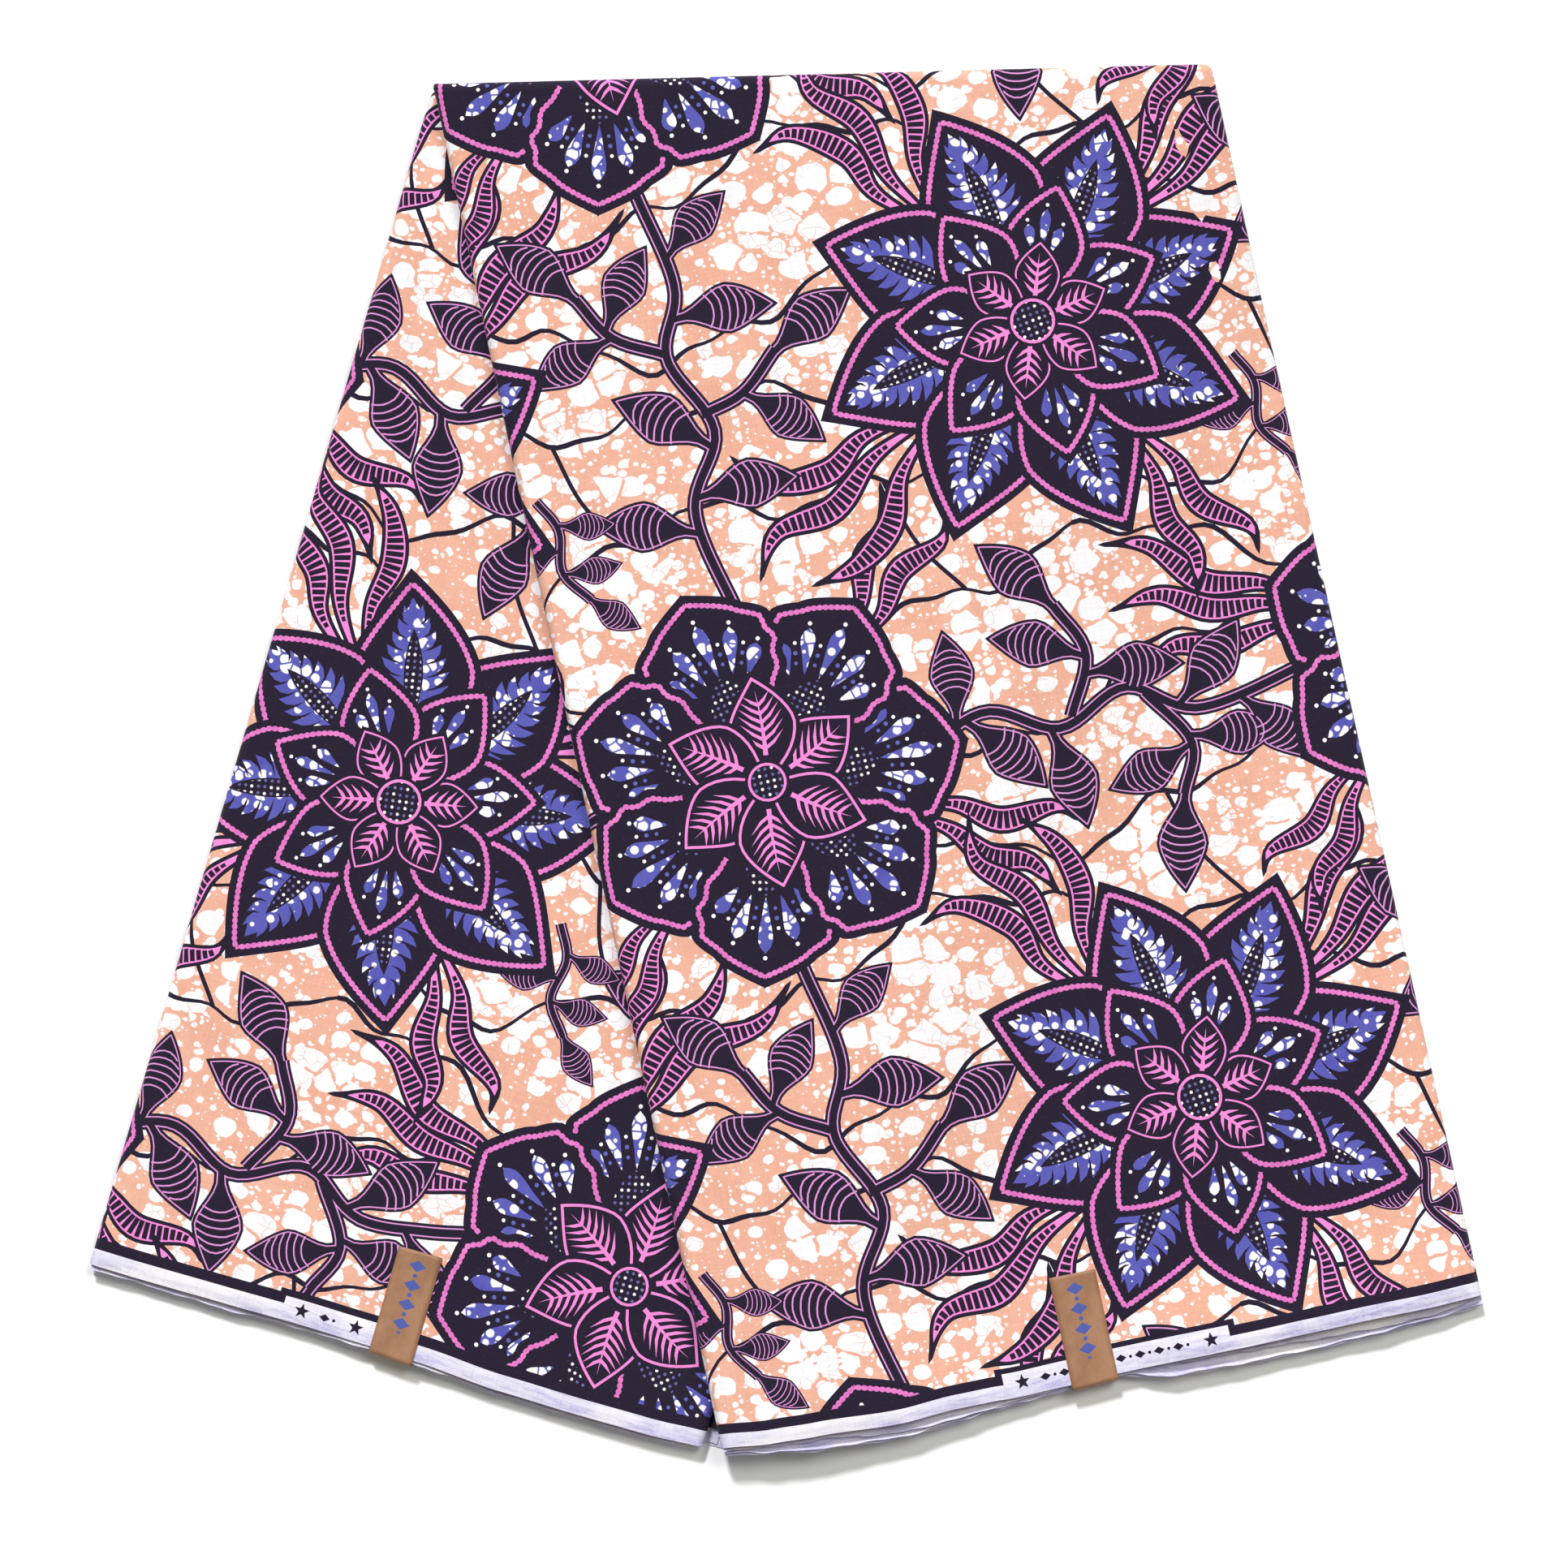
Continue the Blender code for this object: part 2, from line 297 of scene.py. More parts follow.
    def contour(self, past: float, feet: tuple[float, float], step: float, turns: int = 7) -> Points:
        """A line that runs round the leaf's three folds at one distance past the start of their bends.

        Args:
            past: that distance, mm.
            feet: where the line starts on the left and ends on the right, mm up.
            step: rough distance between its points, mm.
            turns: points at each rounded corner.

        Returns:
            The line's points, across and up, from the left foot over the top to the right foot.
        """
        theta = np.linspace(0.0, QUARTER_TURN, turns)
        first, second = past * np.sqrt(np.cos(theta)), past * np.sqrt(np.sin(theta))
        left, right = self.corner(0, first, second), self.corner(1, first, second)
        foot = [
            np.array([(p @ n + past - FOLD_RADIUS - n[1] * up) / n[0], up])
            for (p, n), up in zip(self.sides()[::2], feet)
        ]
        wide, long = (int(size / step) for size in CONTOUR_SIZE)
        rise = np.linspace(foot[0], left[0], long, endpoint=False)
        over = np.linspace(left[-1], right[0], wide, endpoint=False)
        return np.vstack([rise, left[:-1], over, right[:-1], np.linspace(right[-1], foot[1], long + 1)])

    @property
    def bends(self) -> tuple[float, float, float]:
        """The top ply's two bends at a fold, with its straight way down between them.

        Returns:
            Where the first ends and where the second starts and ends, mm along the cloth.
        """
        first = QUARTER_TURN * FOLD_RADIUS
        second = first + (FACE_HEIGHT - self.turn_under - FOLD_RADIUS - UNDER_RADIUS)
        return first, second, second + QUARTER_TURN * UNDER_RADIUS

    @property
    def margin(self) -> float:
        """How far the top ply runs past the start of a bend, mm."""
        return self.bends[2] + UNDER_REACH

    def fold(self, past: Points) -> tuple[Points, Points]:
        """The top ply's way over a fold: round, down the side and under.

        Args:
            past: distance along the cloth from the start of the bend, mm.

        Returns:
            How far out it has gone and how far it has dropped, mm.
        """
        first, second, end = self.bends
        bend = np.clip(past, 0.0, first) / FOLD_RADIUS
        curl = np.clip(past - second, 0.0, end - second) / UNDER_RADIUS
        out = FOLD_RADIUS * np.sin(bend) - UNDER_RADIUS * (1 - np.cos(curl)) - np.maximum(0.0, past - end)
        down = np.clip(past - first, 0.0, second - first)
        return out, FOLD_RADIUS * (1 - np.cos(bend)) + down + UNDER_RADIUS * np.sin(curl)

    def lifted(self, across: Points) -> Points:
        """How far the leaf's cut edges lift off what is under them, mm."""
        return np.interp(across, *np.array(self.curl).T)

    def relief(self, flat: Points) -> Points:
        """Height of the creases and of the cloth's slight unevenness at flat places, mm.

        Args:
            flat: places on the flat leaf, mm across and up.

        Returns:
            Heights over the plain face, mm.
        """
        x, y = flat[:, 0], flat[:, 1]
        soft = np.sin(0.031 * x + 0.012 * y + 0.8) * np.sin(0.017 * y - 0.011 * x)
        soft += 0.6 * np.sin(0.058 * y + 0.021 * x) * np.sin(0.043 * x - 0.4)
        height = self.ripple * soft
        for crease in self.creases:
            height = height + crease.height(flat)
        rolled = np.interp(x, *np.array(self.roll).T)
        height = height + self.lifted(x) * (1.0 - smooth_step(0.0, LIFT_FADE, y)) ** 1.3
        return height - rolled * (1.0 - smooth_step(0.0, ROLL_FADE, y)) ** 1.3

    def top(self, flat: Points) -> Points:
        """Where places of the flat top ply lie on the folded leaf.

        Args:
            flat: places, mm across and up, past the sides where the cloth turns down.

        Returns:
            Their places in the frame, in metres.
        """
        local = flat.copy()
        local[:, 1] += self.edge_up(flat[:, 0]) * (1.0 - smooth_step(0.0, BOW_FADE, flat[:, 1]))
        past = self.past_sides(local)
        all_past = (past**4).sum(1) ** 0.25
        out, drop = self.fold(all_past)
        share = np.where(all_past > 1e-9, out / np.maximum(all_past, 1e-9), 1.0)
        for i, (_, n) in enumerate(self.sides()):
            local = local - (past[:, i] * (1.0 - share))[:, None] * n
        lift = self.relief(flat) * (1.0 - smooth_step(0.0, CREASE_FADE, all_past))
        return self.world(local, FACE_HEIGHT - drop + lift)

    def normals(self, flat: Points) -> Points:
        """Unit normals of the folded top ply at flat places, from places a little beside each."""
        across, up = (self.top(flat + step) - self.top(flat - step) for step in np.eye(2) * BESIDE)
        return unit(np.cross(across, up))

    def world(self, local: Points, height: Points | float) -> Points:
        """Places in the frame, in metres, of places on the leaf and their heights over its underside."""
        return self.in_frame(self.plan(local), height)

    def in_frame(self, plan: Points, height: Points | float) -> Points:
        """Places in the frame, in metres, of places in plan and their heights over the leaf's underside."""
        return MM * np.column_stack([plan + CENTRED, self.floor_under(plan) + height])

    def on_grid(self, across: Points, down: Points, height: Points) -> Points:
        """Places of the leaf's own grid, which its paper band follows.

        Args:
            across: mm across.
            down: mm down from the top fold.
            height: mm over the leaf's underside.

        Returns:
            The places in the frame, in metres.
        """
        tl, tr, br, bl = np.array(self.corners)
        bow = self.read_edge(BOW, across) * smooth_step(GRID_LENGTH - EDGE_BLEND, GRID_LENGTH, down)
        a, b = (across / self.width)[:, None], ((down + bow) / GRID_LENGTH)[:, None]
        return self.in_frame((1 - b) * ((1 - a) * tl + a * tr) + b * ((1 - a) * bl + a * br), height)


LEFT_CORNERS = ((-156.6, 309.6), (140.0, 317.2), (-35.3, -291.2), (-308.2, -212.8))
LEFT_EDGE = (
    (0.0, 0.0, 0.9, 1.6, 1.9),
    (22.0, 0.3, 0.8, 1.2, 1.4),
    (62.0, 0.2, 1.6, 2.4, 2.7),
    (94.0, 0.0, 0.7, 1.0, 1.2),
    (129.0, 0.5, 0.3, 0.5, 0.8),
    (150.0, 1.6, 0.3, 0.5, 0.8),
    (191.0, 3.9, 0.2, 0.4, 0.6),
    (225.0, 4.3, 0.2, 0.3, 0.5),
    (258.0, 4.1, 0.1, 0.2, 0.4),
    (284.0, 2.9, -0.8, -1.2, -1.6),
)
RIGHT_EDGE = (
    (0.0, -1.2, 1.4, 2.6, 2.8),
    (24.0, 1.0, 1.6, 3.8, 6.0),
    (42.0, 1.8, 1.8, 6.0, 6.8),
    (81.0, 3.8, 3.9, 6.0, 6.3),
    (105.0, 2.6, 4.6, 5.9, 6.2),
    (121.0, 2.7, 3.0, 3.6, 4.5),
    (133.0, 3.2, 1.5, 2.8, 3.5),
    (157.0, 2.7, 0.3, 1.4, 1.7),
    (180.0, 1.8, 0.3, 1.4, 1.7),
    (203.0, 1.5, 1.0, 6.4, 6.7),
    (237.0, 1.5, 2.0, 7.3, 7.7),
    (266.0, 1.0, 3.4, 7.8, 9.8),
    (294.0, 0.6, 4.6, 7.1, 9.2),
    (317.0, 0.8, 4.2, 5.5, 8.4),
    (344.6, 0.0, 0.9, 4.4, 4.8),
)

LEFT = Leaf(
    name="left",
    corners=LEFT_CORNERS,
    grain=(0.9607, -0.2777),
    width=284.0,
    edge=LEFT_EDGE,
    band=(130.0, 150.0),
    turn_under=3.7,
    raised=False,
    repeat_at=(75.0, 235.0),
    selvage=7.3,
    border=4.8,
    notch=(88.0, 130.0, 3.4, 3.2),
    step_out=11.5,
    sink=((0.0, 0.4), (100.0, 0.4), (126.0, 0.0), (154.0, 0.0), (175.0, 0.4), (284.0, 0.4)),
    roll=((0.0, 0.7), (60.0, 0.6), (112.0, 0.3), (124.0, 0.0), (156.0, 0.0), (175.0, 0.3), (284.0, 0.4)),
)
RIGHT = Leaf(
    name="right",
    corners=((-155.9, 310.7), (189.7, 319.7), (309.6, -226.6), (-27.4, -295.2)),
    grain=(0.9775, 0.211),
    width=344.6,
    edge=RIGHT_EDGE,
    band=(157.8, 178.8),
    turn_under=1.8,
    raised=True,
    repeat_at=(240.0, 110.0),
    selvage=6.3,
    border=4.4,
    notch=(128.0, 230.5, 4.9, 2.4),
    step_out=0.0,
    sink=(
        (0.0, 0.3), (30.0, 0.35), (70.0, 0.2), (120.0, 0.15), (148.0, 0.0),
        (188.0, 0.0), (208.0, 0.2), (236.0, 0.45), (344.0, 0.5),
    ),
    curl=(
        (0.0, 0.0), (40.0, 1.0), (80.0, 4.0), (110.0, 4.2), (128.0, 2.4), (148.0, 0.2),
        (188.0, 0.2), (202.0, 3.2), (216.0, 4.6), (250.0, 5.0), (300.0, 5.0), (328.0, 3.2), (344.0, 1.6),
    ),
    roll=(
        (0.0, 0.3), (60.0, 0.35), (130.0, 0.3), (150.0, 0.0),
        (186.0, 0.0), (205.0, 0.6), (240.0, 0.9), (344.0, 0.9),
    ),
    creases=(
        Crease((318.0, 560.0), (326.0, 440.0), 4.0, -0.7),
        Crease((330.0, 545.0), (333.0, 470.0), 2.6, 0.5),
    ),
)


# The print's motifs.


@dataclass
class Shape:
    """One printed shape: its outline, its ink, and the line that its ink's pattern runs along."""

    outline: Points
    ink: Ink
    layer: int
    start: tuple = (0.0, 0.0)
    run: tuple = (1.0, 0.0)
    begun: float = 0.0


@dataclass
class Sketch:
    """The printed shapes of one repeat, in the order in which they lie on each other."""

    shapes: list[Shape] = field(default_factory=list)
    layer: int = 0


def gone_along(line: Points) -> Points:
    """How far along a line each of its points lies, mm."""
    return np.concatenate([[0.0], np.cumsum(np.hypot(*np.diff(line, axis=0).T))])


def even_line(line: Points, step: float) -> Points:
    """Spaces the points of a line evenly.

    Args:
        line: the line's points.
        step: the distance wanted, mm.

    Returns:
        The points of the new line, with both its ends.
    """
    gone = gone_along(line)
    count = max(2, int(round(gone[-1] / step)) + 1)
    at = np.linspace(0, gone[-1], count)
    return xy(*(np.interp(at, gone, column) for column in line.T))


def curve_through(knots: Points | tuple, step: float) -> Points:
    """Draws an even line smoothly through knots.

    Args:
        knots: the places that it passes.
        step: rough distance between its points.

    Returns:
        The line's points.
    """
    k = np.asarray(knots, float)
    k = np.vstack([2 * k[0] - k[1], k, 2 * k[-1] - k[-2]])
    parts = []
    for a, b, c, d in zip(k, k[1:], k[2:], k[3:]):
        t = np.linspace(0, 1, 14, endpoint=False)[:, None]
        bend, twist = 2 * a - 5 * b + 4 * c - d, 3 * b - a - 3 * c + d
        parts.append(0.5 * (2 * b + (c - a) * t + bend * t**2 + twist * t**3))
    return even_line(np.vstack([*parts, k[-2]]), step)


def sideways(line: Points) -> Points:
    """The unit normals on the left of a line."""
    return left_of(unit(np.gradient(line, axis=0)))


@dataclass(frozen=True)
class Pen:
    """Draws a motif on a sketch where it stands, mm across and up, turned in degrees, sized and mirrored."""

    sketch: Sketch
    x: float = 0.0
    y: float = 0.0
    turn: float = 0.0
    size: float = 1.0
    mirror: bool = False

    def put(self, points: Points | list) -> Points:
        """Turns points of the motif into points of the cloth.

        Args:
            points: points of the motif, mm.

        Returns:
            The same points, mm across and up.
        """
        p = np.asarray(points, float).reshape(-1, 2) * self.size
        if self.mirror:
            p = p * (1.0, -1.0)
        c, s = math.cos(math.radians(self.turn)), math.sin(math.radians(self.turn))
        return xy(self.x + c * p[:, 0] - s * p[:, 1], self.y + s * p[:, 0] + c * p[:, 1])

    def at(self, x: float, y: float, turn: float = 0.0, size: float = 1.0, mirror: bool = False) -> "Pen":
        """Returns the pen of a smaller motif that stands on this one."""
        (x, y), own = self.put([(x, y)])[0], -turn if self.mirror else turn
        return Pen(self.sketch, x, y, self.turn + own, self.size * size, self.mirror != mirror)

    def ray(self, angle: float, out: float) -> "Pen":
        """Returns the pen of a motif that stands out along a ray and points along it."""
        return self.at(0, 0, angle).at(out, 0)

    def fill(
        self, outline: Points | list, ink: Ink, start: tuple = (0, 0), end: tuple = (1, 0), begun: float = 0.0
    ) -> None:
        """Adds a filled shape whose ink runs from start to end.

        Args:
            outline: its points, in the motif.
            ink: what fills it.
            start: where the ink's pattern starts.
            end: where it points to.
            begun: how much of the pattern lies before its start, mm.
        """
        a, b = self.put([start, end])
        shape = Shape(self.put(outline), ink, self.sketch.layer, tuple(a), tuple(unit(b - a)), begun)
        self.sketch.shapes.append(shape)

    def ribbon(self, line: Points | list, half: float | Points, ink: Ink) -> None:
        """Adds a line of a given half width, pointed where that is nothing.

        Args:
            line: the ribbon's own midline, mm.
            half: half its width, mm, one number or one for each point.
            ink: its ink.
        """
        line = np.asarray(line, float)
        n = sideways(line)
        h = np.broadcast_to(np.asarray(half, float), (len(line),))[:, None]
        left, right = line + n * h, line - n * h
        if h[-1, 0] < 1e-6:
            right = right[:-1]
        if h[0, 0] < 1e-6:
            right = right[1:]
        self.fill(np.vstack([left, right[::-1]]), ink)

    def beads(self, line: Points, half: float) -> None:
        """Adds a line of beads as short lengths, each with its own run.

        Args:
            line: the line that the beads follow, mm.
            half: half a bead's width, mm.
        """
        line = even_line(line, 3.4)
        n = sideways(line) * half
        gone = gone_along(line)
        for i in range(len(line) - 1):
            quad = [line[i] + n[i], line[i] - n[i], line[i + 1] - n[i + 1], line[i + 1] + n[i + 1]]
            self.fill(quad, Ink.BEADS, line[i], line[i + 1], gone[i] * self.size)

    def disc(self, x: float, y: float, r: float, ink: Ink, sides: int = 8) -> None:
        """Adds a round dot."""
        t = np.linspace(0, 2 * math.pi, sides, endpoint=False)
        self.fill(xy(x + r * np.cos(t), y + r * np.sin(t)), ink, (x, y), (x + 1, y))


@dataclass(frozen=True)
class Blade:
    """A petal's or leaf's outline along its midline: length, half width, widest place, root, tip and bend."""

    length: float
    half: float
    widest: float = 0.45
    root: float = 0.3
    slim: float = 0.35
    bend: float = 0.0
    wave: float = 0.0
    waves: int = 0
    stalk: float = 0.0

    def half_at(self, t: Points | float) -> Points:
        """Half width at a share of the length.

        Args:
            t: share of the length, 0 at the root.

        Returns:
            Half widths, mm.
        """
        t = np.clip(np.asarray(t, float), 0.0, 1.0)
        if self.stalk:
            near = self.root + (1.0 - self.root) * smooth_step(self.stalk, self.widest, t)
        else:
            near = 1.0 - (1.0 - self.root) * (1.0 - t / self.widest) ** 2
        tau = (t - self.widest) / (1.0 - self.widest)
        far = (1.0 - tau**2) * (1.0 - self.slim * tau)
        h = self.half * np.where(t < self.widest, near, far)
        if self.waves:
            h = h * (1.0 + self.wave * np.abs(np.sin(math.pi * self.waves * t)) * np.sin(math.pi * t) ** 0.5)
        return h

    def bent(self, points: Points | list) -> Points:
        """Bends points of the straight blade with its midline.

        Args:
            points: mm along and across the straight blade.

        Returns:
            The same points on the bent blade.
        """
        p = np.asarray(points, float).reshape(-1, 2)
        t = np.clip(p[:, 0] / self.length, -0.2, 1.3)
        slope = 2 * self.bend * t / self.length
        lean = np.sqrt(1 + slope**2)
        return xy(p[:, 0] - p[:, 1] * slope / lean, self.bend * t**2 + p[:, 1] / lean)

    def outline(self, grow: float, count: int = 18) -> Points:
        """The outline, drawn out by grow.

        Args:
            grow: how far outside the blade the line runs, mm.
            count: points on each side.

        Returns:
            The outline's points, mm.
        """
        count = count if not self.waves else 8 * self.waves
        t = np.sin(QUARTER_TURN * np.linspace(0.0, 1.0, count)) ** 1.15
        upper = xy(t * self.length, self.half_at(t))
        upper = upper + sideways(upper) * grow
        upper = upper[upper[:, 1] > 0.05]
        tip = self.length + 1.6 * grow if grow >= 0 else min(upper[-1].sum(), self.length)
        upper = np.vstack([upper, [[tip, 0.0]]])
        return self.bent(np.vstack([upper, (upper[::-1] * (1, -1))[1:]]))

    def inside_line(self, inset: float, start: float, side: int) -> Points:
        """A line inside one edge from the root towards the tip, at a distance from that edge.

        Args:
            inset: the distance, mm.
            start: share of the length where the line starts.
            side: 1 for the left edge, -1 for the right.

        Returns:
            The line's points, mm.
        """
        t = np.linspace(start, 1.0, 40)
        line = xy(t * self.length, self.half_at(t))
        line = line - sideways(line) * inset
        line = line[line[:, 1] > 0.0]
        line = np.vstack([line, [[line[-1, 0] + 0.4 * line[-1, 1], 0.0]]])
        return self.bent(line * (1, side))

    def flame(self, start: float, end: float, share: float, barbs: int) -> Points:
        """A feathered shape along the midline between two shares of the length.

        Args:
            start: the share of the length where it starts.
            end: where it ends.
            share: its width as a share of the blade's.
            barbs: how many feathers each side has.

        Returns:
            Its outline.
        """
        step = (end - start) / barbs
        upper = []
        for i in range(barbs):
            t = start + i * step
            for ahead, out in ((0.0, 0.34), (0.35, 0.74), (0.85, 1.0), (1.55, 1.2), (1.15, 0.70)):
                at = min(t + ahead * step, 0.985)
                done = max(0.0, (at - start) / (end - start))
                fall = min(1.0, 0.66 + 1.2 * done) * (1.0 - 0.34 * done**3)
                upper.append((at * self.length, share * out * fall * self.half_at(at)))
        upper.append(((end + 1.1 * step) * self.length, 0.0))
        upper = np.array(upper)
        return self.bent(np.vstack([upper, upper[:-1][::-1] * (1, -1)]))

    def lens(self, start: float, end: float, half: float) -> Points:
        """A plain lens on the midline.

        Args:
            start: the share of the length where it starts.
            end: where it ends.
            half: half its width, mm.

        Returns:
            Its outline.
        """
        t = np.linspace(0, 1, 12)
        upper = xy((start + (end - start) * t) * self.length, half * np.sin(math.pi * t) ** 0.8)
        return self.bent(np.vstack([upper, upper[::-1][1:-1] * (1, -1)]))


def beaded_petal(pen: Pen, blade: Blade, inset: float, start: float, bead: float, count: int) -> None:
    """Draws a dark petal with a row of beads inside each edge.

    Args:
        pen: stands at the petal's root.
        blade: its outline.
        inset: how far inside the edge the beads run, mm.
        start: share of the length where they start.
        bead: half a bead's width, mm.
        count: points on each side of the outline.
    """
    pen.fill(blade.outline(1.0, count), Ink.NAVY)
    for side in (1, -1):
        pen.beads(blade.inside_line(inset, start, side), bead)


def veined_petal(pen: Pen, blade: Blade, rim: tuple, rib: tuple, pairs: int) -> None:
    """Draws a dark petal with a coloured rim, a midrib and slanting side veins.

    Args:
        pen: stands at the petal's root.
        blade: its outline.
        rim: where the rim starts and ends, mm outside the outline, below nothing inside it.
        rib: the shares of the length where the midrib starts and ends.
        pairs: how many pairs of veins it has.
    """
    for grow, ink in ((1.0, Ink.NAVY), (rim[0], Ink.ORCHID), (rim[1], Ink.NAVY)):
        pen.fill(blade.outline(grow), ink)
    start, end = rib
    middle = blade.bent(xy(np.linspace(start, end, 10) * blade.length, 0.0))
    pen.ribbon(middle, np.linspace(1.1, 0.0, 10), Ink.ORCHID)
    for i in range(pairs):
        t = start + (end - start) * (0.1 + 0.8 * i / pairs)
        x, reach = t * blade.length, 0.62 * float(blade.half_at(t + 0.08))
        for side in (1, -1):
            vein = [(x, 0.0), (x + 0.3 * reach, side * 0.45 * reach), (x + 0.85 * reach, side * reach)]
            pen.ribbon(blade.bent(vein), np.array([0.75, 0.7, 0.0]), Ink.ORCHID)


def plume(pen: Pen, length: float, fat: float) -> None:
    """Draws a drop that swells to a round end, with a white dot beyond it.

    Args:
        pen: stands at the drop's narrow end.
        length: its length, mm.
        fat: times as wide as usual.
    """
    half = fat * np.array([0.0, 0.7, 1.1, 1.5, 2.0, 2.5, 2.9, 2.9, 2.1, 0.0])
    pen.ribbon(xy(np.linspace(0, 1, 10) * length, 0.0), half, Ink.FLAME)
    pen.disc(length + 1.9, 0, 0.95 * fat**0.5, Ink.WHITE, 7)


def dotted_eye(pen: Pen, radii: tuple[float, float, float], sides: int) -> None:
    """Draws a flower's eye, a dark, a coloured and a dotted disc on each other."""
    for r, ink in zip(radii, (Ink.NAVY, Ink.ORCHID, Ink.DOTS)):
        pen.disc(0, 0, r, ink, sides)


@dataclass(frozen=True)
class Rosette:
    """A flower seen from the front, in three rings of pointed petals round a dotted eye."""

    petals: int = 8
    outer: Blade = Blade(80.0, 29.5, 0.46, 0.4, 0.34, 9.0)
    inner: Blade = Blade(52.0, 19.5, 0.46, 0.4, 0.25, -4.0)
    heart: Blade = Blade(29.0, 10.6, 0.5, 0.45, 0.2, 0.0)

    def draw(self, pen: Pen) -> None:
        """Draws the flower, its outer ring first.

        Args:
            pen: stands at the flower's middle.
        """
        for k in range(self.petals):
            self.great_petal(pen.ray(360.0 * k / self.petals, 22.0))
        for k in range(7):
            self.small_petal(pen.ray(11.0 + 360.0 * k / 7, 12.0))
        for k in range(6):
            veined_petal(pen.ray(4.0 + 60.0 * k, 7.0), self.heart, (-0.6, -1.4), (0.12, 0.8), 4)
        dotted_eye(pen, (11.4, 10.0, 8.7), 24)

    def great_petal(self, pen: Pen) -> None:
        """Draws an outer petal: its beaded edge, its feathered flame and the dotted lens in that.

        Args:
            pen: stands at the petal's root.
        """
        blade = self.outer
        beaded_petal(pen, blade, 3.2, 0.1, 1.4, 22)
        pen.fill(blade.flame(0.2, 0.78, 0.46, 8), Ink.FLAME, (0, 0), (blade.length, 0))
        pen.fill(blade.lens(0.18, 0.69, 4.3), Ink.NAVY)
        pen.fill(blade.lens(0.2, 0.66, 3.7), Ink.DOTS, (0, 0), (blade.length, 0.4 * blade.bend))

    def small_petal(self, pen: Pen) -> None:
        """Draws a middle petal with three drops.

        Args:
            pen: stands at the petal's root.
        """
        beaded_petal(pen, self.inner, 2.6, 0.1, 1.25, 18)
        for angle, length in ((-17, 12.5), (0, 19.0), (17, 12.5)):
            plume(pen.at(6.0, 0).ray(angle, 13.0), length, 0.8)


@dataclass(frozen=True)
class Peony:
    """A flower of broad petals with waved edges and a cup of small petals in the middle."""

    petals: int = 7
    outer: Blade = Blade(66.0, 31.0, 0.58, 0.4, 0.0, 0.0, 0.1, 5)
    cup: Blade = Blade(44.0, 16.0, 0.5, 0.3, 0.3, 6.0)

    def draw(self, pen: Pen) -> None:
        """Draws the flower, its outer ring first.

        Args:
            pen: stands at the flower's middle.
        """
        for k in range(self.petals):
            self.broad_petal(pen.ray(360.0 * k / self.petals, 24.0))
        for k in range(6):
            veined_petal(pen.ray(20 + 60.0 * k, 4.0), self.cup, (-0.9, -2.1), (0.18, 0.84), 6)
        dotted_eye(pen, (10.0, 8.6, 7.4), 22)

    def broad_petal(self, pen: Pen) -> None:
        """Draws an outer petal with its drops, the dots between them and a dotted lens.

        Args:
            pen: stands at the petal's root.
        """
        beaded_petal(pen, self.outer, 3.4, 0.12, 1.4, 18)
        for angle, length in ((-40, 15.0), (-20, 21.0), (0, 25.0), (20, 21.0), (40, 15.0)):
            plume(pen.at(8.0, 0).ray(angle, 19.0), length, 1.12)
        for angle in (-30.0, -10.0, 10.0, 30.0):
            for r, size, ink in ((24.0, 0.9, Ink.VIOLET), (28.5, 1.05, Ink.VIOLET), (33.0, 0.9, Ink.WHITE)):
                pen.at(8.0, 0).at(0, 0, angle).disc(r, 0, size, ink, 6)
        pen.fill(self.outer.lens(-0.05, 0.40, 9.5), Ink.DOTS, (0, 0), (self.outer.length, 0))


@dataclass(frozen=True)
class Spray:
    """Branching stems with stalked leaves, drawn so that stems and leaves run into each other.

    A leaf is given by its stem, how far along that it grows, its angle to it and its size.
    """

    stems: tuple
    leaves: tuple
    leaf: Blade = Blade(46.0, 10.6, 0.56, 0.2, 0.3, 6.0, stalk=0.1)
    stem: float = 2.5

    def draw(self, pen: Pen) -> None:
        """Draws the outline of everything, then the coloured line in it, then its dark inside and the ribs.

        Args:
            pen: stands at the spray's own origin.
        """
        lines = [curve_through(knots, 4.0) for knots in self.stems]
        roots = [self.on_line(pen, lines[stem], *rest) for stem, *rest in self.leaves]
        for grow, ink in ((1.05, Ink.NAVY), (-0.15, Ink.MAUVE), (-0.75, Ink.NAVY)):
            for line in lines:
                pen.ribbon(line, self.stem + grow, ink)
            for root in roots:
                root.fill(self.leaf.outline(grow), ink)
        for root in roots:
            self.ribs(root)

    def on_line(self, pen: Pen, line: Points, share: float, angle: float, size: float) -> Pen:
        """Finds where a leaf grows.

        Args:
            pen: stands at the spray's origin.
            line: the leaf's stem.
            share: how far along the stem it grows.
            angle: its angle to the stem, below nothing on the stem's right.
            size: its size.

        Returns:
            The leaf's own pen.
        """
        i = min(int(share * (len(line) - 1)), len(line) - 2)
        d = line[i + 1] - line[i]
        return pen.at(line[i][0], line[i][1], math.degrees(math.atan2(d[1], d[0])) + angle, size, angle < 0)

    def ribs(self, pen: Pen) -> None:
        """Draws the ribs across the broad part of a leaf.

        Args:
            pen: stands at the leaf's root.
        """
        leaf = self.leaf
        for k in range(6):
            t = 0.39 + 0.078 * k
            h = float(leaf.half_at(t)) - 0.5
            x = t * leaf.length
            rib = [(x - 1.8, -h), (x + 1.0, -0.4 * h), (x + 1.1, 0.4 * h), (x - 1.2, h)]
            pen.ribbon(leaf.bent(curve_through(rib, 2.8)), 0.36, Ink.MAUVE)


